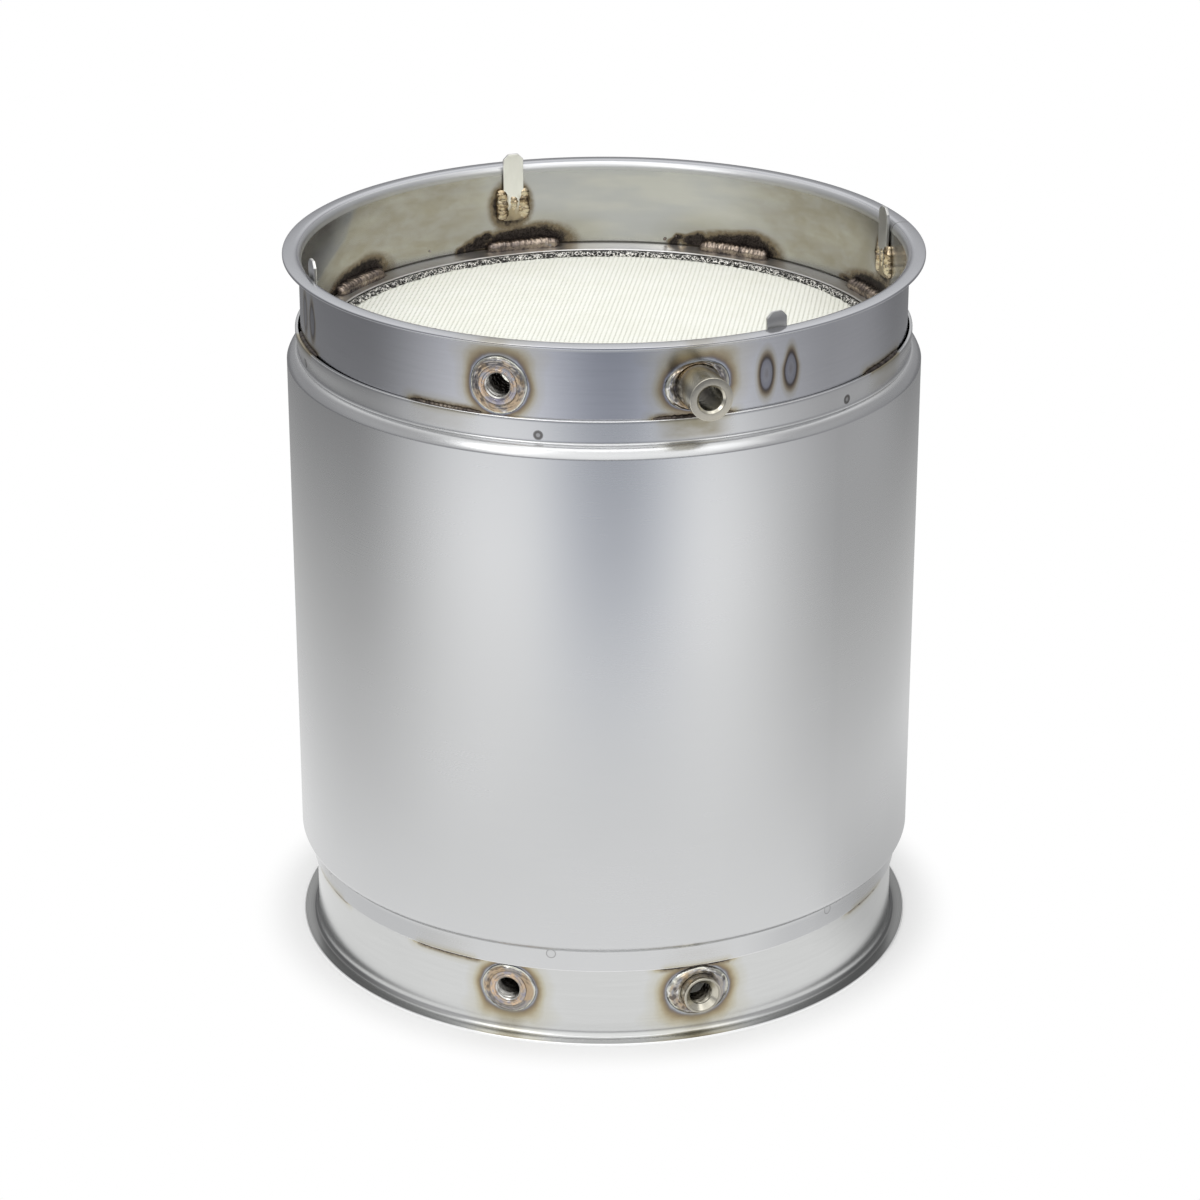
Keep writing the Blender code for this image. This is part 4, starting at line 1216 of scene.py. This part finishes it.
def floor():
    """White table lit by two soft lamps in front. Metal sees a painted reflection in it: two pools of light,
    white close to the canister and greyer further out, with a darker gap between them and at the sides."""
    mesh = bpy.data.meshes.new("floor")
    mesh.from_pydata([(-6, -6, -HALF), (6, -6, -HALF), (6, 6, -HALF), (-6, 6, -HALF)], [], [(0, 1, 2, 3)])
    obj = bpy.data.objects.new("floor", mesh)
    bpy.context.collection.objects.link(obj)
    g = Graph("white_table")
    away, turn = g.radius, g.azimuth
    lit = abs(turn + 2).step(34, 90, 1, 0)
    gap = abs(turn - 3).step(2, 32, 1, 0) * away.step(0.45, 0.95, 0.0, 0.80)
    front = g.ramp(away / 2, (0.13, grey(1.05)), (0.20, grey(1.0)), (0.33, grey(1.10)), (0.44, grey(1.42)),
                   (0.54, (1.38, 1.39, 1.42)), (0.66, (0.75, 0.76, 0.80)), (0.95, (0.34, 0.35, 0.38)))
    aside = g.ramp(away / 2, (0.13, grey(0.98)), (0.22, grey(0.78)), (0.30, (0.64, 0.64, 0.635)),
                   (0.42, grey(0.44)), (0.55, (0.26, 0.26, 0.265)), (0.95, (0.22, 0.22, 0.23)))
    right = turn.step(55, 90) * turn.step(100, 135, 1, 0) * away.step(0.80, 1.0)
    near = turn.step(54, 80) * turn.step(110, 170, 1, 0) * away.step(0.22, 0.40, 1, 0)
    tone = (1 + right * 0.80) * (1 - near * 0.32)
    # Painted reflection: a glow that only glossy rays see.
    glow = g.mix(lit * (1 - gap), aside, front)
    glow = g.dimmed(glow, tone)
    glow = g.mix(gap * lit, glow, g.tinted(glow, (0.93, 0.99, 1.13)))
    seen = g.node("ShaderNodeLightPath").socket.node
    by_camera, by_gloss = Value(g, seen.outputs["Is Camera Ray"]), Value(g, seen.outputs["Is Glossy Ray"])
    paper = g.node("ShaderNodeBsdfDiffuse", None, {"Color": (0.86, 0.86, 0.855, 1)})
    white = g.node("ShaderNodeEmission", None, {"Color": (1, 1, 1, 1), "Strength": 1.0})
    painted_reflection = g.node("ShaderNodeEmission", None, {"Color": glow, "Strength": 1.0})
    open_floor = away.step(0.166, 0.171) * away.step(0.168, 0.198, 0.40, 1.0)
    camera_side = g.node("ShaderNodeMixShader", None, {0: open_floor * by_camera, 1: paper, 2: white})
    final = g.node("ShaderNodeMixShader", None, {0: by_gloss, 1: camera_side, 2: painted_reflection})
    g.node("ShaderNodeOutputMaterial", None, {0: final})
    mesh.materials.append(g.material)


def lamp(name, azimuth, elevation, distance, size, power, colour=(1, 1, 1)):
    """Soft area lamp aimed at the canister's upper half."""
    data = bpy.data.lights.new(name, "AREA")
    data.shape = "RECTANGLE"
    data.size, data.size_y = size
    data.energy = power
    data.color = colour
    obj = bpy.data.objects.new(name, data)
    a, e = math.radians(azimuth), math.radians(elevation)
    back = np.array([math.sin(a) * math.cos(e), -math.cos(a) * math.cos(e), math.sin(e)])
    obj.location = tuple(back * distance + np.array([0, 0, 0.05]))
    obj.rotation_euler = (math.radians(90) - e, 0, a)
    bpy.context.collection.objects.link(obj)


def studio():
    """White to the camera, soft greys to everything else, a broad lamp above and two soft ones in front."""
    world = bpy.data.worlds.new("studio")
    bpy.context.scene.world = world
    world.use_nodes = True
    g = Graph("studio", world.node_tree)
    way = g.node("ShaderNodeTexCoord", out="Generated")
    split = g.node("ShaderNodeSeparateXYZ", None, {0: way}).socket.node
    east, south, up = (Value(g, socket) for socket in split.outputs)
    raised = up * 0.5 + 0.5
    front = g.ramp(raised, (0.50, (0.36, 0.365, 0.38)), (0.56, (0.42, 0.425, 0.43)),
                   (0.63, (1.10, 1.105, 1.11)), (0.80, grey(1.30)), (1.0, grey(1.0)))
    back = g.ramp(raised, (0.50, (0.25, 0.25, 0.26)), (0.60, (0.40, 0.40, 0.41)), (0.68, (0.80, 0.805, 0.81)),
                  (0.73, grey(1.0)), (0.80, grey(1.15)), (1.0, grey(0.95)))
    side = g.ramp(raised, (0.50, (0.43, 0.43, 0.44)), (0.62, (0.36, 0.36, 0.37)), (0.80, (0.10, 0.10, 0.11)),
                  (1.0, grey(0.30)))
    beside = abs(east).step(0.47, 0.76, 0.0, 0.68) * up.step(0.80, 0.97, 1, 0)
    behind = south.step(0.45, 0.75) * abs(east).step(0.12, 0.38, 0.0, 0.70) * up.step(0.40, 0.75, 1, 0)
    beside = 1 - (1 - beside) * (1 - behind)
    sky = g.mix(south.step(-0.3, 0.6), front, back)
    sky = g.mix(beside, sky, side)
    seen = g.node("ShaderNodeLightPath", out="Is Camera Ray")
    colour = g.mix(seen, sky, (1.0, 1.0, 1.0))
    shown = g.node("ShaderNodeBackground", None, {0: colour, 1: 1.0})
    g.node("ShaderNodeOutputWorld", None, {0: shown})
    lamp("key_left", -42, 42, 2.2, (0.8, 1.1), 5)
    lamp("key_right", 50, 42, 2.2, (0.8, 1.1), 2)
    lamp("top", 0, 80, 1.7, (1.1, 1.0), 4)


dress()
camera()
floor()
studio()
bpy.context.scene.view_settings.view_transform = "Standard"
